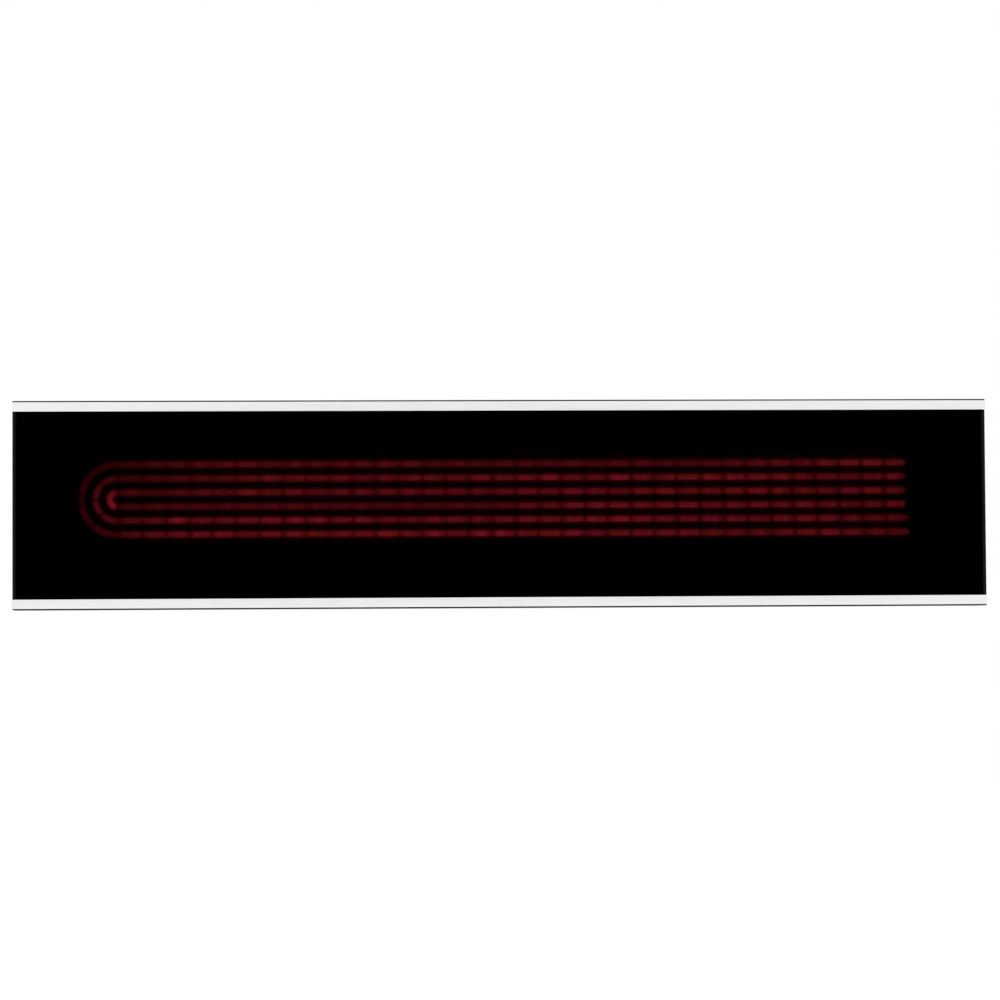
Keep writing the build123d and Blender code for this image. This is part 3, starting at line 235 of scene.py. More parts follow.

# %% [markdown]
# Behind the glass, the board and the ceramic bars stand so close to the wires that the wires' light falls
# on them. That light is painted into their material as a glow. Painting that glow by hand on an image
# would be slow, and real light from the wires would be noisy behind dark glass. So it is worked out in
# the material from the distance to the nearest coil. Each coil is half a pitch from the middle between
# two, so the distance is the radius around the bend, folded back and forth.

# %% Painted light next to the coils
FAR_COIL_LIGHT = 0.05  # what is left of the painted light between two coils
BEND_COIL_LIGHT = 0.3  # and what is left of it at the far end of the bends
END_FADE = 6 * MM  # the painted light fades over this at the right-hand ends


def painted_light_by_coils(tree, x, radius, near_mm, far_mm, left, right):
    """The painted light next to a coil: full up to near_mm from its middle line and faint from far_mm on.

    Its strength goes from left to right along the rows, and it is weaker round the bends."""
    from_inner = add(tree, "Math", {0: radius, 1: BEND_RADII[2]}, operation="SUBTRACT")
    distance = add(tree, "Math", {0: from_inner.outputs[0], 1: ROW_PITCH / 2}, operation="PINGPONG")
    coil_light = add(tree, "MapRange", {
        0: distance.outputs[0], 1: near_mm * MM, 2: far_mm * MM, 3: 1.0, 4: FAR_COIL_LIGHT}).outputs[0]
    outside = BEND_RADII[0] + ROW_PITCH / 2
    within = add(tree, "Math", {0: radius, 1: outside}, operation="LESS_THAN")
    before_end = add(tree, "MapRange", {
        0: x, 1: COIL_RIGHT - END_FADE, 2: COIL_RIGHT, 3: 1.0, 4: 0.0})
    along = add(tree, "MapRange", {0: x, 1: BEND_X, 2: COIL_RIGHT, 3: left, 4: right})
    round_bend = add(tree, "MapRange", {
        0: x, 1: BEND_X - BEND_RADII[0], 2: BEND_X + 3 * BEND_RADII[0], 3: BEND_COIL_LIGHT, 4: 1.0})
    for factor in (within, before_end, along, round_bend):
        coil_light = add(
            tree, "Math", {0: coil_light, 1: factor.outputs[0]}, operation="MULTIPLY").outputs[0]
    return coil_light


print("the warmth reaches", round((BEND_RADII[0] + ROW_PITCH / 2) / MM, 1), "mm from the middle")

# %% [markdown]
# The tight inner bend is the brightest place, because wire is on three sides of it. There the board gets
# a second painted glow, painted light from that wire, from nothing in the middle to its full strength
# next to the wire.

# %% Painted light inside the inner bend
INNER_EDGE = BEND_RADII[2] - COIL_R + 0.5 * MM  # just under the inner side of the coil
INNER_FADE = 4 * MM  # to the right of the bend, it fades over this


def painted_light_in_bend(tree, x, radius, strength):
    """The painted light within the inner bend, which has its full strength at the edge."""
    # Painted light from the wire around the bend.
    coil_light = add(tree, "MapRange", {
        0: radius, 1: 0.2 * INNER_EDGE, 2: INNER_EDGE, 3: 0.0, 4: strength}).outputs[0]
    within = add(tree, "Math", {0: radius, 1: INNER_EDGE}, operation="LESS_THAN")
    at_bend = add(tree, "MapRange", {0: x, 1: BEND_X, 2: BEND_X + INNER_FADE, 3: 1.0, 4: 0.0})
    for factor in (within, at_bend):
        coil_light = add(
            tree, "Math", {0: coil_light, 1: factor.outputs[0]}, operation="MULTIPLY").outputs[0]
    return coil_light


print("edge of the inner bend in mm:", round(INNER_EDGE / MM, 2))

# %% [markdown]
# Both kinds of painted light need a place's distance from the line through the middle of the U. On the
# rows that is the height above or below the line, and around the bend it is a radius, so the part of x to
# the right of the bend is cut off before the length is taken. The ceramic bars are a sintered oxide, grey
# and dull. The board is pressed from microporous powder, with a coarser grain that crumbles a little.

# %% Minerals with painted light from the coils
WIRE_GLOW = 7.2  # plain strength, at which the red behind the glass is as bright as the real one


def with_painted_coil_light(material, near_mm, far_mm, left, right, inside):
    """Paints the coils' light onto a mineral as a glow, in shares of the wire's own glow at left, at
    right and inside.
    """
    tree = material.node_tree
    shader = tree.nodes["Principled BSDF"]
    coordinates = add(tree, "TexCoord")
    axes = add(tree, "SeparateXYZ", {0: coordinates.outputs["Object"]})
    x = axes.outputs["X"]
    along = add(tree, "Math", {0: x, 1: BEND_X}, operation="SUBTRACT")
    round_bend = add(tree, "Math", {0: along.outputs[0], 1: 0.0}, operation="MINIMUM")
    up = add(tree, "Math", {0: axes.outputs["Z"], 1: RISE}, operation="SUBTRACT")
    offset = add(tree, "CombineXYZ", {"X": round_bend.outputs[0], "Y": up.outputs[0]})
    radius = add(tree, "VectorMath", {0: offset.outputs[0]}, operation="LENGTH").outputs["Value"]
    coil_light_on_rows = painted_light_by_coils(
        tree, x, radius, near_mm, far_mm, left * WIRE_GLOW, right * WIRE_GLOW)
    in_bend = painted_light_in_bend(tree, x, radius, inside * WIRE_GLOW)
    coil_light = add(tree, "Math", {0: coil_light_on_rows, 1: in_bend}, operation="ADD")
    # The glow is painted light from the wires, in their colour.
    shader.inputs["Emission Color"].default_value = linear("#ff5a6e")
    tree.links.new(coil_light.outputs[0], shader.inputs["Emission Strength"])
    return material


# The bars and the board get the coils' light as a painted glow.
bar_ceramic = with_painted_coil_light(
    matt_solid("sintered_ceramic", "#4a4340", "#58504c", (0.75, 0.9), 0.7, 0.01),
    near_mm=2.6, far_mm=3.6, left=0.30, right=0.19, inside=0.0)
board = with_painted_coil_light(
    matt_solid("insulating_board", "#7a7571", "#8a8580", (0.9, 1.0), 1.2, 0.05),
    near_mm=3.0, far_mm=5.8, left=0.085, right=0.085, inside=0.13)
print("heated:", bar_ceramic.name, "and", board.name)

# %% [markdown]
# ## One finish for each material of the record
# The record names a material slot for every part, and each slot gets one finish here. They could be
# mixed by eye in the editor, but as hex values in one place they are easy to compare: the blacks differ
# only a little, and zinc, nickel and aluminised steel must still be told apart.

# %% One material for each slot of the record
finishes = {
    "glass_ceramic": glass,
    "silicone": rubber,
    "bright_aluminium": aluminium,
    # Powder coat on folded sheet: satin, orange peel about 1.5 mm from crest to crest.
    "black_paint": matt_solid(
        "black_powder_coat", "#0b0b0c", "#111112", (0.38, 0.50), 1.5, 0.02, specular=0.2),
    # The same powder on a casting, which shows a coarser skin. Its coat is painted darker and less glossy
    # than the casing's, as painted shade that keeps the caps black from the front.
    "cast_aluminium": matt_solid(
        "coated_casting_with_painted_shade", "#060607", "#0a0a0b", (0.42, 0.55), 2.2, 0.03, specular=0.09),
    "bracket_steel": plated_plate,
    "screw_steel": plated_metal("zinc_plated_fastener", "#a9adb2", "#c3c5c6", (0.22, 0.34), 5),
    "black_screws": plated_metal("black_oxide_steel", "#1b1b1c", "#272728", (0.35, 0.5), 3),
    "bar_ceramic": bar_ceramic,
    "insulating_board": board,
    "aluminised_steel": plated_metal("aluminised_sheet", "#bdbdba", "#cfcfcc", (0.35, 0.5), 8),
    "pin_alloy": plated_metal("heat_resisting_alloy", "#8f8a85", "#a39e98", (0.35, 0.5), 2),
    "steatite": matt_solid("steatite", "#e4ded2", "#efeae0", (0.3, 0.45), 1.5, 0.005),
    "brass": plated_metal("brass", "#c9a45a", "#d9b76c", (0.25, 0.4), 4),
    "nickel_plate": plated_metal("nickel_plate", "#c2bdb4", "#d2cec6", (0.2, 0.3), 6),
    "phenolic": matt_solid("moulded_phenolic", "#231b18", "#2c231f", (0.35, 0.5), 0.5, 0.005),
    "white_lead": matt_solid("glass_fibre_sleeve", "#d2cfc8", "#e6e3dc", (0.7, 0.85), 0.5, 0.04),
    "earth_lead": matt_solid("green_glass_fibre_sleeve", "#5c8f2c", "#74a838", (0.7, 0.85), 0.5, 0.04),
    "polyamide": matt_solid("moulded_polyamide", "#1c1c1e", "#242427", (0.45, 0.58), 0.35, 0.008),
}
print("finishes:", ", ".join(material.name for material in finishes.values()))

# %% [markdown]
# A CAD solid keeps its shape, so its finish only has to go into its material slot. Everything inside
# the casing, such as the terminal block, the leads and the springs, is finished by this step. The
# pieces that are made again further on take theirs from the same list. Only the heating wire isn't in it
# yet, because its finish needs a glow that is made with its mesh.

# %% Give every CAD node its finish
slot_of = {part["node"]: part["material_slot"] for part in frame["record"]["subparts"]}
for node, solid in frame["nodes"].items():
    if slot_of[node] in finishes:
        solid.data.materials.clear()
        solid.data.materials.append(finishes[slot_of[node]])
print("nodes with a finish:", sum(slot in finishes for slot in slot_of.values()))

# %% [markdown]
# ## Working with meshes
# A CAD solid comes as loose triangles. Its copy is merged and its flat faces are joined again, and
# then a Bevel modifier can round its edges by a fraction of a millimetre, which is what catches the
# light on real sheet and castings. Each piece ends at the origin with its place in its mesh.

# %% Copies of CAD solids
MERGE_WITHIN = 0.002 * MM  # corners of a CAD solid that are nearer than this are one


def joined(node):
    """A bmesh of a CAD node with its loose triangles joined at their corners."""
    bm = bmesh.new()
    bm.from_mesh(frame["nodes"][node].data)
    bmesh.ops.remove_doubles(bm, verts=bm.verts[:], dist=MERGE_WITHIN)
    return bm


def with_whole_faces(node):
    """The same with its flat faces whole."""
    bm = joined(node)
    bmesh.ops.dissolve_limit(
        bm, angle_limit=math.radians(0.5), verts=bm.verts[:], edges=bm.edges[:], delimit=set())
    return bm


def solids_of(node):
    """The lowest and highest corner of each separate solid in a CAD node."""
    bm = joined(node)
    left = set(bm.verts)
    corners_of_solids = []
    while left:
        to_visit = [left.pop()]
        corners = []
        while to_visit:
            vertex = to_visit.pop()
            corners.append(vertex.co.copy())
            for edge in vertex.link_edges:
                other = edge.other_vert(vertex)
                if other in left:
                    left.remove(other)
                    to_visit.append(other)
        low = Vector([min(c[i] for c in corners) for i in range(3)])
        high = Vector([max(c[i] for c in corners) for i in range(3)])
        corners_of_solids.append((low, high))
    bm.free()
    return sorted(corners_of_solids, key=lambda corners: tuple(corners[0]))


print("end cap screws:", len(solids_of("end_cap_screws")))

# %% [markdown]
# A finished piece has one material, smooth faces with sharp edges where they should be, the body that it
# moves with, and the material slot of the record. Rounded edges come from a Bevel modifier, because it
# can be set again at any time, while bevelled faces can't.

# %% Pieces and their rounded edges
SHARP_FROM = 35  # degrees between two faces, from which their edge is drawn sharp
ROUNDED_FROM = 30  # and from which the Bevel modifier rounds it


def in_scene(name, data):
    """Puts a mesh, a lamp or a camera into the scene."""
    thing = bpy.data.objects.new(name, data)
    bpy.context.scene.collection.objects.link(thing)
    return thing


def to_piece(bm, name, slot, body):
    """Turns a bmesh into a finished piece that rides on a body."""
    mesh = bpy.data.meshes.new(name)
    bm.to_mesh(mesh)
    bm.free()
    return mesh_piece(mesh, name, slot, body)


def mesh_piece(mesh, name, slot, body):
    """Makes a piece of a mesh, smooth but for its sharp edges."""
    mesh.materials.append(finishes[slot])
    mesh.shade_smooth()
    mesh.set_sharp_from_angle(angle=math.radians(SHARP_FROM))
    piece = in_scene(name, mesh)
    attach(piece, body)
    return piece


def ease_edges(piece, width_mm):
    """Rounds a piece's sharp edges a little."""
    bevel = piece.modifiers.new("eased_edges", "BEVEL")
    bevel.width = width_mm * MM
    bevel.segments = 2
    bevel.limit_method = "ANGLE"
    bevel.angle_limit = math.radians(ROUNDED_FROM)
    bevel.use_clamp_overlap = True
    bevel.harden_normals = True
    bevel.miter_outer = "MITER_ARC"
    return piece


print("edges are sharp from", SHARP_FROM, "degrees and rounded from", ROUNDED_FROM)

# %% [markdown]
# ## Shells, trims and brackets with eased edges
# The CAD solids already have the right outline, bends and holes, so these pieces are merged copies
# with small rounded edges: about 0.1 mm where thin sheet was sheared, and 0.3 to 0.4 mm on the castings,
# the glass and the thick plate.

# %% Eased copies of the outer pieces
EASED = {
    # CAD node: (name of the piece, width of its rounded edges in mm)
    "rear_casing": ("casing_shell", 0.08),
    "terminal_cover": ("cover_shell", 0.25),
    "left_end_cap": ("cap_left", 0.35),
    "right_end_cap": ("cap_right", 0.35),
    "top_trim": ("trim_above", 0.15),
    "bottom_trim": ("trim_below", 0.15),
    "glass_front": ("glass_pane", 0.3),
    "tilt_arm_left": ("arm_left", 0.4),
    "tilt_arm_right": ("arm_right", 0.4),
    "wall_bracket_left": ("bracket_left", 0.4),
    "wall_bracket_right": ("bracket_right", 0.4),
}
bodies = frame["record"]["behaviour"]["bodies"]
body_of = {node: body for body, nodes in bodies.items() for node in nodes}
for node, (name, width) in EASED.items():
    piece = to_piece(with_whole_faces(node), name, slot_of[node], body_of[node])
    ease_edges(piece, width)
    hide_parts(node)
    print(name, len(piece.data.polygons), "faces")

# %% [markdown]
# ## Glowing coils
# A coil is heating wire, 1 mm thick, wound to 6.4 mm and stretched a little so that its turns don't
# touch. Ceramic bars at an even pitch hold the coils down in their grooves. Each bar presses the coil
# thinner, so it swells between bars, and the places of the bars are read from the CAD.

# %% Sizes of the winding, and where the bars are
PITCH = 2.0 * MM
WIRE_R = 0.5 * MM
TURN_STEPS = 12
WIRE_SIDES = 5
bars = [(low + high) / 2 for low, high in solids_of("coil_hold_down_bars")]
straight_bars = sorted(bar.x for bar in bars if abs(bar.z - RISE) < MM and bar.x > BEND_X)
SEGMENT = straight_bars[1] - straight_bars[0]
print("bars:", len(straight_bars), "apart by", round(SEGMENT / MM, 2))

# %% [markdown]
# A curve with a round bevel could draw the whole winding, but it would need thousands of points. So one
# turn is made as a mesh: a small circle of wire that the spin operator screws forward by one pitch. An
# Array modifier repeats it along X, which is much quicker than thousands of steps of spin.

# %% One turn of wire
def one_turn():
    """One turn around the X axis, open at both ends, where the next turn joins it."""
    bm = bmesh.new()
    place = Matrix.Translation((0, 0, COIL_R - WIRE_R)) @ Matrix.Rotation(math.radians(90), 4, "X")
    bmesh.ops.create_circle(bm, segments=WIRE_SIDES, radius=WIRE_R, matrix=place)
    bmesh.ops.spin(
        bm, geom=bm.verts[:] + bm.edges[:], cent=(0, 0, 0), axis=(1, 0, 0), angle=math.tau,
        dvec=(PITCH / TURN_STEPS, 0, 0), steps=TURN_STEPS, use_merge=False, use_duplicate=False,
    )
    mesh = bpy.data.meshes.new("one_turn")
    bm.to_mesh(mesh)
    bm.free()
    return mesh


print("one turn has", TURN_STEPS * WIRE_SIDES, "faces")


# %% Many turns in a row
def straight_coil(length):
    """A coil along +X from the origin, with whole turns and closed ends."""
    turn = in_scene("one_turn", one_turn())
    array = turn.modifiers.new("turns", "ARRAY")
    array.use_relative_offset = False
    array.use_constant_offset = True
    array.constant_offset_displace = (PITCH, 0, 0)
    array.use_merge_vertices = True
    array.merge_threshold = 0.01 * MM
    array.count = int(length / PITCH)
    bpy.context.view_layer.update()
    evaluated = turn.evaluated_get(bpy.context.evaluated_depsgraph_get())
    mesh = bpy.data.meshes.new_from_object(evaluated)
    bpy.data.objects.remove(turn)
    bm = bmesh.new()
    bm.from_mesh(mesh)
    bmesh.ops.holes_fill(
        bm, edges=[edge for edge in bm.edges if edge.is_boundary], sides=WIRE_SIDES)
    bmesh.ops.recalc_face_normals(bm, faces=bm.faces[:])
    bm.to_mesh(mesh)
    bm.free()
    return mesh


ROW = COIL_RIGHT - BEND_X  # the straight length of a row
print("turns of the outer coil:", int((2 * ROW + math.pi * BEND_RADII[0]) / PITCH))

# %% [markdown]
# The way along a U starts at the right-hand end of the upper row. A point of the straight coil has a
# distance along that way, which gives either a distance to the right of the bend or an angle round it.
# Near the right-hand end the bars and the segments between them lean a little, as if they had slipped
# when the coils were laid.

# %% The way along a U
LEAN = 3.2 * MM
LEAN_FROM, LEAN_TO = 0.19, 0.25  # metres to the right of the middle
LEAN_HEIGHT = 28 * MM  # below the middle of the coils, where the lean is whole


def along_the_u(s, bend_r):
    """For distances along the way: how far right of the bend, and the angle round the bend."""
    straight = np.maximum(ROW - s, 0) + np.maximum(s - ROW - math.pi * bend_r, 0)
    angle = np.clip((s - ROW) / bend_r, 0, math.pi)
    return straight, angle


def lean(x, z):
    """How far a bar or a segment is out to the right at a place."""
    right = np.clip((x - LEAN_FROM) / (LEAN_TO - LEAN_FROM), 0, 1)
    return LEAN * right * np.clip((RISE - z) / LEAN_HEIGHT, 0, 1)


print("length of a row in mm:", round(ROW / MM, 1))

# %% [markdown]
# The bars divide the coil into segments. A place's segment is a number whose whole part counts the bars
# that lie before it, and whose rest says how far it is on to the next one. It decides how thick the coil
# is there, because each bar pinches it.

# %% Segments between bars
INNER = 2  # number of the inner coil. No bar lies over its bend.
PINCHED = 0.74  # the coil's thickness under a bar, as a share of the full one
BEND_SEGMENT = math.radians(45)


def segment_at(k, x, straight, angle):
    """The segment of places on coil k."""
    in_bend = 0.5 if k == INNER else angle / BEND_SEGMENT
    return np.where(straight > 0, (x - straight_bars[0]) / SEGMENT, in_bend)


def thickness(segment):
    """The coil's thickness, which swells quickly behind a bar and stays full up to the next."""
    swollen = np.sin(math.pi * (segment % 1.0)) ** 0.55
    return PINCHED + (1 - PINCHED) * swollen


print("segments in a row:", round(ROW / SEGMENT, 1))

# %% [markdown]
# The wire doesn't glow evenly. It is less bright at a bar and towards the left, least in the upper part
# of the wide bends, most in the tight inner bend, and a little different from one segment and from one
# turn to the next. A noise could give that, but not where each row is bright or dim, so the glow is
# written into the mesh as an attribute, which the material reads later.

# %% Glow along each coil
# Places on a row, as shares of its length from the bend to the right.
PLACES = (0.1, 0.3, 0.48, 0.6, 0.75, 0.95)
# Places round the bend, as shares of it from its upper end.
BEND_PLACES = (0, 0.25, 0.5, 0.75, 1)
# Glow of the outer, middle and inner coil: in the upper row, round the bend and in the lower row.
GLOWS = [
    ((0.67, 0.71, 0.51, 0.53, 0.56, 0.95), (0.34, 0.22, 0.18, 0.28, 0.46),
     (0.93, 1.00, 1.10, 1.08, 1.00, 0.86)),
    ((0.79, 0.86, 0.86, 1.10, 1.05, 0.90), (0.46, 0.34, 0.78, 0.58, 0.64),
     (0.98, 1.00, 0.85, 1.08, 1.10, 0.73)),
    ((0.75, 0.75, 0.78, 0.93, 1.05, 0.86), (0.60, 1.10, 1.30, 1.60, 0.60),
     (0.61, 0.55, 0.45, 1.07, 1.00, 0.88)),
]
# An upper and a lower row are dimmer up to this distance from the bend, from these shares at the bend.
WARM_UP = (150 * MM, 60 * MM)
AT_BEND = [(0.42, 0.42), (0.42, 0.42), (0.62, 0.42)]


def glow_along(k, straight, angle, is_upper):
    """The glow of places on coil k, before bars and chance change it."""
    upper, bend, lower = GLOWS[k]
    in_row = np.where(is_upper, *[np.interp(straight / ROW, PLACES, row) for row in (upper, lower)])
    start = np.where(is_upper, *AT_BEND[k])
    in_row *= start + (1 - start) * np.minimum(straight / np.where(is_upper, *WARM_UP), 1)
    in_bend = np.interp(angle / math.pi, BEND_PLACES, bend)
    return np.where(straight > 0, in_row, in_bend)


for k, name in enumerate(("outer", "middle", "inner")):
    print(name, "coil, mean glow of the upper row:", round(float(np.mean(GLOWS[k][0])), 2))

# %% [markdown]
# Chance is drawn with a fixed seed, so that every run gives the same coil. It has three parts: how hot a
# segment is, how hot a turn or two are, and how far the red of a segment leans from orange to crimson.

# %% Bars and chance
COOLED_OVER = 3.6 * MM  # a bar takes heat from the wire within this distance
COOLED_BY = (0.40, 0.58)  # and this share of it at the left and at the right end of a row
SEGMENT_HEAT = (0.80, 1.16)
TURN_HEAT = (0.75, 1.25)
TINTS = (0.0, 0.7)
DRAWS = 200  # more than there are segments in a coil


def left_by_bars(segment, straight):
    """The share of the glow that the bars leave."""
    from_bar = np.abs(segment - np.round(segment)) * SEGMENT
    cooled = np.exp(-((from_bar / COOLED_OVER) ** 2)) * np.interp(straight / ROW, (0, 1), COOLED_BY)
    return 1 - cooled


def chance(k, s, segment, straight, is_upper):
    """What chance makes of the heat and of the tint."""
    # The bend, the upper row and the lower row each take their own part of the draws.
    which = np.floor(segment).astype(int) + 50 * is_upper + 100 * (straight > 0)
    luck = np.random.default_rng(7 + k)
    heat, tint = luck.uniform(*SEGMENT_HEAT, DRAWS)[which], luck.uniform(*TINTS, DRAWS)[which]
    tint = np.where(straight > 0, tint, 0.4 + 0.6 * tint)  # the bends are more crimson
    two_turns = np.maximum(s / PITCH / 2, 0).astype(int)
    return heat * luck.uniform(*TURN_HEAT, two_turns.max() + 1)[two_turns], tint


print("heat of a segment:", SEGMENT_HEAT, "and of two turns:", TURN_HEAT)

# %% [markdown]
# The wire is an iron-chromium-aluminium alloy with a grey-brown oxide skin. What the eye sees is its
# own light, a deep red that leans to orange in some segments and to crimson in others.

# %% Material of the glowing wire
def glowing_wire():
    material, tree, shader = new_material(
        "oxidised_heating_wire", {"Metallic": 0.6, "Emission Strength": WIRE_GLOW})
    skin = grain(tree, 2.0)
    wear_in(tree, shader, skin, "#3a2622", "#4c332c", skin, (0.5, 0.7), 0.004)
    tint = add(tree, "Attribute", attribute_name="tint")
    glow = add(tree, "Attribute", attribute_name="glow")
    hue = add(tree, "Mix", {
        0: tint.outputs["Fac"], 6: linear("#ff6069"), 7: linear("#ff4c82")}, data_type="RGBA")
    light = add(tree, "VectorMath", {0: hue.outputs[2], "Scale": glow.outputs["Fac"]}, operation="SCALE")
    tree.links.new(light.outputs[0], shader.inputs["Emission Color"])
    return material


finishes["heating_wire"] = glowing_wire()
print("wire:", finishes["heating_wire"].name)

# %% [markdown]
# Now everything comes together. The vertices of a straight coil are read into an array, which is much
# quicker than one by one. Their X is the distance along the U, and their Y and Z are offsets from its
# middle line, which turn with it round the bend. The coil's sides get painted shade: their glow is dimmed
# against the front's, where the wire is seen at a slant.

# %% Lay the coils along their Us
SHADED_SIDE_GLOW = 0.5  # glow at the coil's sides, as a share of its front's, dimmed as painted shade


def lay_coil(node, name, k):
    """Replaces a CAD coil by real turns of wire."""
    bend_r = BEND_RADII[k]
    mesh = straight_coil(2 * ROW + math.pi * bend_r)
    co = np.empty(len(mesh.vertices) * 3)
    mesh.vertices.foreach_get("co", co)
    s, dy, dz = co.reshape(-1, 3).T
    straight, angle = along_the_u(s, bend_r)
    out_x, out_z = -np.sin(angle), np.cos(angle)
    x, z = BEND_X + straight + bend_r * out_x, RISE + bend_r * out_z
    segment = segment_at(k, x, straight, angle)
    # The sides' glow is dimmed here as painted shade.
    painted_side_shade = SHADED_SIDE_GLOW + (1 - SHADED_SIDE_GLOW) * np.maximum(0, -dy / np.hypot(dy, dz))
    heat, tint = chance(k, s, segment, straight, z > RISE)
    glow = glow_along(k, straight, angle, z > RISE) * heat * left_by_bars(segment, straight) * painted_side_shade
    dy, dz = dy * thickness(segment), dz * thickness(segment)
    placed = np.stack((x + lean(x, z) + out_x * dz, COIL_Y + dy, z + out_z * dz), axis=1)
    mesh.vertices.foreach_set("co", placed.reshape(-1))
    for attribute, values in (("glow", glow), ("tint", tint)):
        layer = mesh.attributes.new(attribute, "FLOAT", "POINT")
        layer.data.foreach_set("value", values.astype(np.float32))
    piece = mesh_piece(mesh, name, "heating_wire", "heater")
    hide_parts(node)
    print(name, len(mesh.polygons), "faces")


for k, node in enumerate(("outer_coil", "middle_coil", "inner_coil")):
    lay_coil(node, node.replace("coil", "wire_coil"), k)

# %% [markdown]
# ## Hold-down bars
# Each bar is a thin strip of ceramic across the coils, with its corners rounded by a little. It follows
# the same lean as the coils' segments.

# %% Bars across the coils
bm = with_whole_faces("coil_hold_down_bars")
for vertex in bm.verts:
    vertex.co.x += lean(vertex.co.x, vertex.co.z)
bar_piece = ease_edges(to_piece(bm, "ceramic_bars", "bar_ceramic", "heater"), 0.15)
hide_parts("coil_hold_down_bars")
print("ceramic_bars", len(bar_piece.data.polygons), "faces")

# %% [markdown]
# ## Screws, bolts, nuts and washers
# A fastener is turned or pressed around one axis, so it can be drawn as a stack of rings. A profile that
# is spun would be as short, but could only be round. Here each ring has 36 corners and is either round
# or a hexagon, and the next one is extruded from it. That gives hexagon sockets, chamfered heads and
# threads with one short function.

# %% A ring
RING = 36  # corners of a ring, a multiple of six so that a hexagon's corners fall on them


def hexagon_radius(angle, across_flats):
    """Distance from the axis to the side of a hexagon, in a direction."""
    from_flat = angle % math.radians(60) - math.radians(30)
    return across_flats / 2 / math.cos(from_flat)


def shape_ring(corners, size, height, hexagonal=False, cone=0.0):
    """Moves a ring's corners to a radius, or a hexagon's width, and to a height.

    The cone lowers a hexagon's corners, as a turned chamfer does."""
    for vertex in corners:
        angle = math.atan2(vertex.co.y, vertex.co.x)
        radius = hexagon_radius(angle, size) if hexagonal else size
        z = height - cone * (radius - size / 2) if hexagonal else height
        vertex.co = Vector((radius * math.cos(angle), radius * math.sin(angle), z)) * MM


print("corners of an M8 hexagon are at", round(hexagon_radius(0, 13.0), 2), "mm from its axis")


# %% A stack of rings
def turned(rings):
    """A closed solid around Z. A ring is (radius, height), or (width, height, "hex", cone)."""
    bm = bmesh.new()
    corners = bmesh.ops.create_circle(bm, segments=RING, radius=MM)["verts"]
    first = last = bm.edges[:]
    shape_ring(corners, *rings[0])
    for ring in rings[1:]:
        made = bmesh.ops.extrude_edge_only(bm, edges=last)["geom"]
        corners = [v for v in made if isinstance(v, bmesh.types.BMVert)]
        last = [e for e in made if isinstance(e, bmesh.types.BMEdge) and e.is_boundary]
        shape_ring(corners, *ring)
    if rings[0][:2] == rings[-1][:2]:  # a nut or a washer, which closes on itself
        bmesh.ops.remove_doubles(bm, verts=bm.verts[:], dist=0.001 * MM)
    else:
        bmesh.ops.edgeloop_fill(bm, edges=first)
        bmesh.ops.edgeloop_fill(bm, edges=last)
    bmesh.ops.recalc_face_normals(bm, faces=bm.faces[:])
    return bm


plain = turned([(8.0, 0.0), (8.0, -1.6)])
print("a plain disc has", len(plain.faces), "faces")
plain.free()

# %% [markdown]
# Where a fastener sits comes from the box of its CAD solid: its axis runs through the box's middle, and
# its outer end lies in the box's outer face. An array of copies would need the same places again, so
# they are read here instead, and all fasteners of a kind become one piece.

# %% Fasteners in their places
def set_in_place(node, name, axis, outward, rings_for):
    """Replaces each solid of a CAD node by a turned one with its outer end in the same place.

    outward is 1 or -1 along the axis, or "out" or "in", seen from the heater's middle."""
    whole = bmesh.new()
    for low, high in solids_of(node):
        centre = (low + high) / 2
        side = 1 if centre[axis] > 0 else -1
        way = {"out": side, "in": -side}.get(outward, outward)
        centre[axis] = high[axis] if way > 0 else low[axis]
        direction = Vector([way if i == axis else 0 for i in range(3)])
        turn = direction.to_track_quat("Z", "Y").to_matrix().to_4x4()
        fastener = turned(rings_for((high[axis] - low[axis]) / MM))
        fastener.transform(Matrix.Translation(centre) @ turn)
        mesh = bpy.data.meshes.new("fastener")
        fastener.to_mesh(mesh)
        fastener.free()
        whole.from_mesh(mesh)
        bpy.data.meshes.remove(mesh)
    piece = to_piece(whole, name, slot_of[node], body_of[node])
    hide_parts(node)
    print(name, len(piece.data.polygons), "faces")


left_ends = [round(low.x / MM, 1) for low, high in solids_of("pivot_bolts")]
print("the pivot bolts' left ends are at x in mm:", left_ends)

# %% [markdown]
# Each kind of fastener is a list of rings in millimetres, counted from its outer end. Its thread could
# be a real helix, but at this size plain crests and roots look the same and take far fewer faces. The
# screws of the trims and end caps are sunk flush, and those of the cover and arms have low domed heads.

# %% Threads and screws, in millimetres from the outer end
THREAD_DEPTH = 0.54  # of the pitch, as metric threads have
SCREW_PITCH = 0.17  # of the diameter, about right for M3 to M6


def thread(radius, pitch, start, end):
    """Crests and roots of a thread from one height down to another."""
    turns = int((start - end) / pitch)
    root = radius - THREAD_DEPTH * pitch
    rings = []
    for k in range(turns):
        z = start - k * pitch
        rings += [(root, z), (radius, z - 0.45 * pitch), (radius, z - 0.6 * pitch)]
    return rings + [(root, start - turns * pitch), (root, end)]


def sunk_head(thread_r, head_r, head_h, key):
    """Countersunk screw with a hexagon socket, for any length."""
    def rings(length):
        return [
            (key, -0.7 * head_h, "hex", 0), (key, -0.12, "hex", 0), (key / 2 + 0.35, 0.0),
            (head_r - 0.12, 0.0), (head_r, -0.12), (head_r, -0.3), (thread_r, -head_h),
        ] + thread(thread_r, SCREW_PITCH * 2 * thread_r, -head_h - 0.5, -length)
    return rings


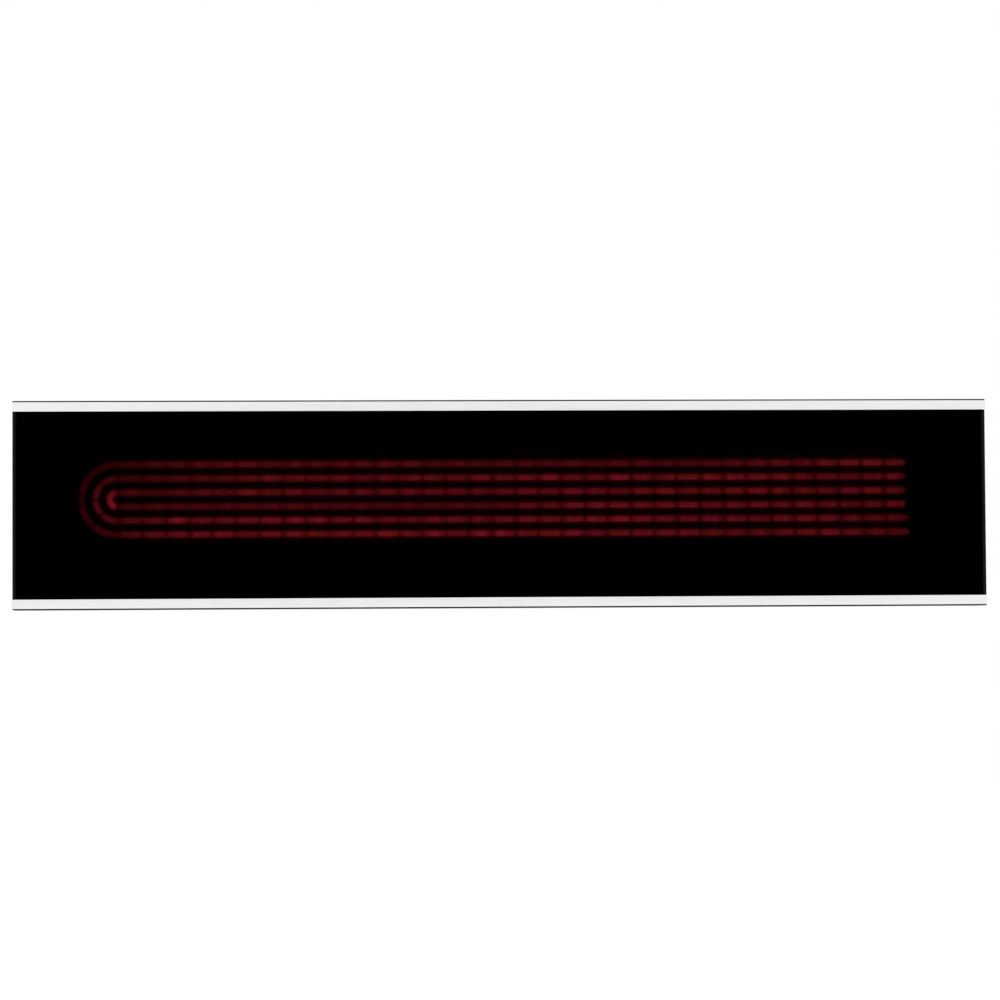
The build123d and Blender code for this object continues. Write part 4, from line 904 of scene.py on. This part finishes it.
def button_head(thread_r, head_r, head_h, key):
    """Screw with a low domed head and a hexagon socket, for any length."""
    def rings(length):
        dome = [math.radians(a) for a in (25, 40, 55, 70, 85)]
        curve = [(head_r * math.sin(a), -head_h * 0.72 * (1 - math.cos(a)) - 0.05) for a in dome]
        return [
            (key, -0.62 * head_h, "hex", 0), (key, -0.15, "hex", 0), (key / 2 + 0.5, 0.0),
        ] + [c for c in curve if c[0] > key / 2 + 0.6] + [
            (head_r, -0.86 * head_h), (head_r - 0.15, -head_h), (thread_r, -head_h),
        ] + thread(thread_r, SCREW_PITCH * 2 * thread_r, -head_h - 0.5, -length)
    return rings


X, Y, Z = range(3)
set_in_place("trim_screws", "trim_screw_set", Z, "out", sunk_head(1.5, 3.0, 1.7, 2.0))
set_in_place("end_cap_screws", "cap_screw_set", X, "out", sunk_head(2.0, 4.0, 2.3, 2.5))
set_in_place("cover_screws", "cover_screw_set", Y, 1, button_head(2.0, 3.8, 2.2, 2.5))
set_in_place("tilt_arm_screws", "arm_screw_set", Y, 1, button_head(3.0, 5.25, 3.3, 4.0))

# %% [markdown]
# The brackets' bolts carry the whole heater, so they are M8, 13 mm across the flats of the hexagon. A
# turned chamfer on a hexagon is a cone, which cuts only its corners. In a stack of rings, that means that
# the corners of a hexagonal ring lie a little lower than the middles of its sides.

# %% Bolts, nuts and washers, in millimetres from the outer end
CONE = 0.577  # slope of a 30 degree chamfer


def hex_head(length):
    """M8 bolt: 13 mm across flats, with a dished and chamfered head."""
    return [
        (4.3, -0.35), (5.0, -0.05), (5.4, 0.0), (6.1, 0.0), (13.0, -0.22, "hex", CONE),
        (13.0, -5.1, "hex", -0.2), (6.1, -5.3), (4.0, -5.3), (4.0, -length + 16),
    ] + thread(4.0, 1.25, -length + 15.5, -length + 0.8) + [(3.0, -length)]


def hex_nut(length):
    """M8 nut, chamfered on both sides, with a countersunk thread."""
    bore = thread(4.05, 1.25, -0.7, -length + 0.7)
    return [(3.4, -0.7), (4.2, 0.0), (6.05, 0.0), (13.0, -0.25, "hex", CONE),
            (13.0, -length + 0.25, "hex", -CONE), (6.05, -length), (4.2, -length),
            (3.4, -length + 0.7)] + bore[::-1][1:-1] + [(3.4, -0.7)]


def washer(length):
    """Stamped M8 washer with a rolled outer edge on one side."""
    return [(4.2, 0.0), (7.6, 0.0), (7.85, -0.08), (8.0, -0.3), (8.0, -length + 0.1),
            (7.9, -length), (4.2, -length), (4.2, 0.0)]


for bolts in ("pivot", "lock"):
    set_in_place(bolts + "_bolts", bolts + "_bolt_set", X, "out", hex_head)
    set_in_place(bolts + "_nuts", bolts + "_nut_set", X, "in", hex_nut)
    set_in_place(bolts + "_washers", bolts + "_washer_set", X, "out", washer)

# %% [markdown]
# ## Sky, floor, light and camera
# The heater hangs in the air, as it does on a wall bracket, above a pale floor. The sky is pure white to
# the camera and to reflections, but lights the heater only at a plain level. Black glass would mirror a
# white room, so there is a dark gap in the sky straight ahead of the glass, as in a studio where the
# camera looks through a gap between two white screens.

# %% World
AMBIENT = 0.62  # what the sky adds to every surface
# The gap, as the x and z of directions straight ahead of the glass.
GAP_X = (-0.105, 0.21)
GAP_Z = (-0.005, 0.09)
GAP_FADE = 1.15  # where the sky is white again, with the gap's edge at 1


def studio_world():
    world = bpy.data.worlds.new("studio")
    world.use_nodes = True
    tree = world.node_tree
    tree.nodes.clear()
    path = add(tree, "LightPath")
    camera_or_glossy = add(tree, "Math", {
        0: path.outputs["Is Camera Ray"], 1: path.outputs["Is Glossy Ray"]}, operation="MAXIMUM")
    seen = add(tree, "Math", {
        0: camera_or_glossy.outputs[0], 1: path.outputs["Is Transmission Ray"]}, operation="MAXIMUM")
    strength = add(tree, "MapRange", {0: seen.outputs[0], 3: AMBIENT, 4: 1.0})
    # How far a direction lies from the middle of the gap, where 1 is its edge.
    direction = add(tree, "TexCoord")
    (left, right), (low, high) = GAP_X, GAP_Z
    scale = (2 / (right - left), 1.0, 2 / (high - low))
    middle = ((right + left) / 2, 0.0, (high + low) / 2)
    shift = [-m * k for m, k in zip(middle, scale)]
    frame_of_gap = add(tree, "Mapping", {
        "Vector": direction.outputs["Generated"], "Location": shift, "Scale": scale})
    axes = add(tree, "SeparateXYZ", {0: frame_of_gap.outputs[0]})
    across = add(tree, "Math", {0: axes.outputs["X"]}, operation="ABSOLUTE")
    up = add(tree, "Math", {0: axes.outputs["Z"]}, operation="ABSOLUTE")
    away = add(tree, "Math", {0: across.outputs[0], 1: up.outputs[0]}, operation="MAXIMUM")
    light = add(tree, "MapRange", {0: away.outputs[0], 1: 1.0, 2: GAP_FADE}).outputs[0]
    behind = add(tree, "Math", {0: axes.outputs["Y"], 1: 0.0}, operation="GREATER_THAN")
    not_glossy = add(tree, "Math", {0: 1.0, 1: path.outputs["Is Glossy Ray"]}, operation="SUBTRACT")
    for passed in (behind.outputs[0], not_glossy.outputs[0]):
        light = add(tree, "Math", {0: light, 1: passed}, operation="MAXIMUM").outputs[0]
    total = add(tree, "Math", {0: strength.outputs[0], 1: light}, operation="MULTIPLY")
    background = add(tree, "Background", {"Color": linear("#ffffff"), "Strength": total.outputs[0]})
    add(tree, "OutputWorld", {"Surface": background.outputs[0]})
    bpy.context.scene.world = world


studio_world()
print("sky strength on surfaces:", AMBIENT)

# %% [markdown]
# The floor could be a plane with a plain white paint, but it would come out grey in the heater's shadow
# and around it. A pale matt floor with a little light of its own, seen only by the camera and in
# reflections, reaches white and still shows the shadow. Its underside is clear, so the heater can be
# looked at from below.

# %% Floor
FLOOR_Z = cad_low.z - 640 * MM
FLOOR_R = 9.0
FLOOR_LIFT = 0.22  # brings the lit floor up to white for the camera and for reflections


def pale_floor():
    bm = bmesh.new()
    at_floor = Matrix.Translation((0, 0, FLOOR_Z))
    bmesh.ops.create_circle(bm, cap_ends=True, segments=96, radius=FLOOR_R, matrix=at_floor)
    mesh = bpy.data.meshes.new("floor")
    bm.to_mesh(mesh)
    bm.free()
    floor = in_scene("floor", mesh)
    material = bpy.data.materials.new("pale_floor")
    material.use_nodes = True
    tree = material.node_tree
    tree.nodes.clear()
    path = add(tree, "LightPath")
    seen = add(tree, "Math", {
        0: path.outputs["Is Camera Ray"], 1: path.outputs["Is Glossy Ray"]}, operation="MAXIMUM")
    pale = add(tree, "BsdfDiffuse", {"Color": linear("#e8e8e8")})
    glow = add(tree, "MapRange", {0: seen.outputs[0], 3: 0.0, 4: FLOOR_LIFT})
    lift = add(tree, "Emission", {"Color": linear("#ffffff"), "Strength": glow.outputs[0]})
    both = add(tree, "AddShader", {0: pale.outputs[0], 1: lift.outputs[0]})
    side = add(tree, "NewGeometry")
    clear = add(tree, "BsdfTransparent")
    surface = add(tree, "MixShader", {
        0: side.outputs["Backfacing"], 1: both.outputs[0], 2: clear.outputs[0]})
    add(tree, "OutputMaterial", {"Surface": surface.outputs[0]})
    mesh.materials.append(material)


pale_floor()
print("floor below the heater in mm:", round((cad_low.z - FLOOR_Z) / MM))

# %% [markdown]
# Three lamps stand in for large soft boxes. Area lamps would give the same softness, but their light
# falls off along a metre of heater, while a sun lamp lights both ends alike. Suns as wide as 40 or 50
# degrees give soft edges. They are left out of reflections, where their round discs would show.

# %% Lamps
LAMPS = {
    # name: (direction that it stands in, strength, angle across in degrees)
    "key": ((-0.55, -0.75, 0.60), 1.30, 40),
    "fill": ((0.75, -0.60, 0.30), 0.70, 50),
    "back": ((0.25, 0.80, 0.55), 1.00, 40),
}


def soft_sun(name, direction, strength, angle):
    """Even light from one side, soft because its source is as wide as the angle."""
    lamp = bpy.data.lights.new(name, "SUN")
    lamp.energy = strength
    lamp.angle = math.radians(angle)
    holder = in_scene(name, lamp)
    holder.matrix_world = Vector(direction).to_track_quat("Z", "Y").to_matrix().to_4x4()
    holder.visible_glossy = False


for name, settings in LAMPS.items():
    soft_sun(name, *settings)
    print("lamp", name, "strength", settings[1])

# %% [markdown]
# The camera stands almost straight ahead, a little to the left and below, with a long lens that keeps
# the long edges nearly parallel. Its place is given as a distance and two angles from the middle of the
# front, which is easier to adjust than three coordinates.

# %% Camera
def studio_camera(distance, azimuth, elevation, roll, lens, aim):
    """A camera at a distance and direction from a point, with its lens in millimetres."""
    az, el = math.radians(azimuth), math.radians(elevation)
    back = Vector((math.sin(az) * math.cos(el), -math.cos(az) * math.cos(el), math.sin(el)))
    data = bpy.data.cameras.new("camera")
    data.lens = lens
    data.sensor_width = 36
    camera = in_scene("camera", data)
    turn = back.to_track_quat("Z", "Y").to_matrix().to_4x4()
    level = Matrix.Translation(aim + back * distance) @ turn
    camera.matrix_world = level @ Matrix.Rotation(math.radians(roll), 4, "Z")
    bpy.context.scene.camera = camera


front_centre = Vector((-2.6 * MM, cad_low.y, 3.8 * MM))
studio_camera(
    distance=3.5, azimuth=-2.97, elevation=-2.3, roll=-0.33, lens=124.22, aim=front_centre)
bpy.context.scene.view_settings.view_transform = "Standard"
print("camera at", [round(c, 3) for c in bpy.context.scene.camera.matrix_world.translation])
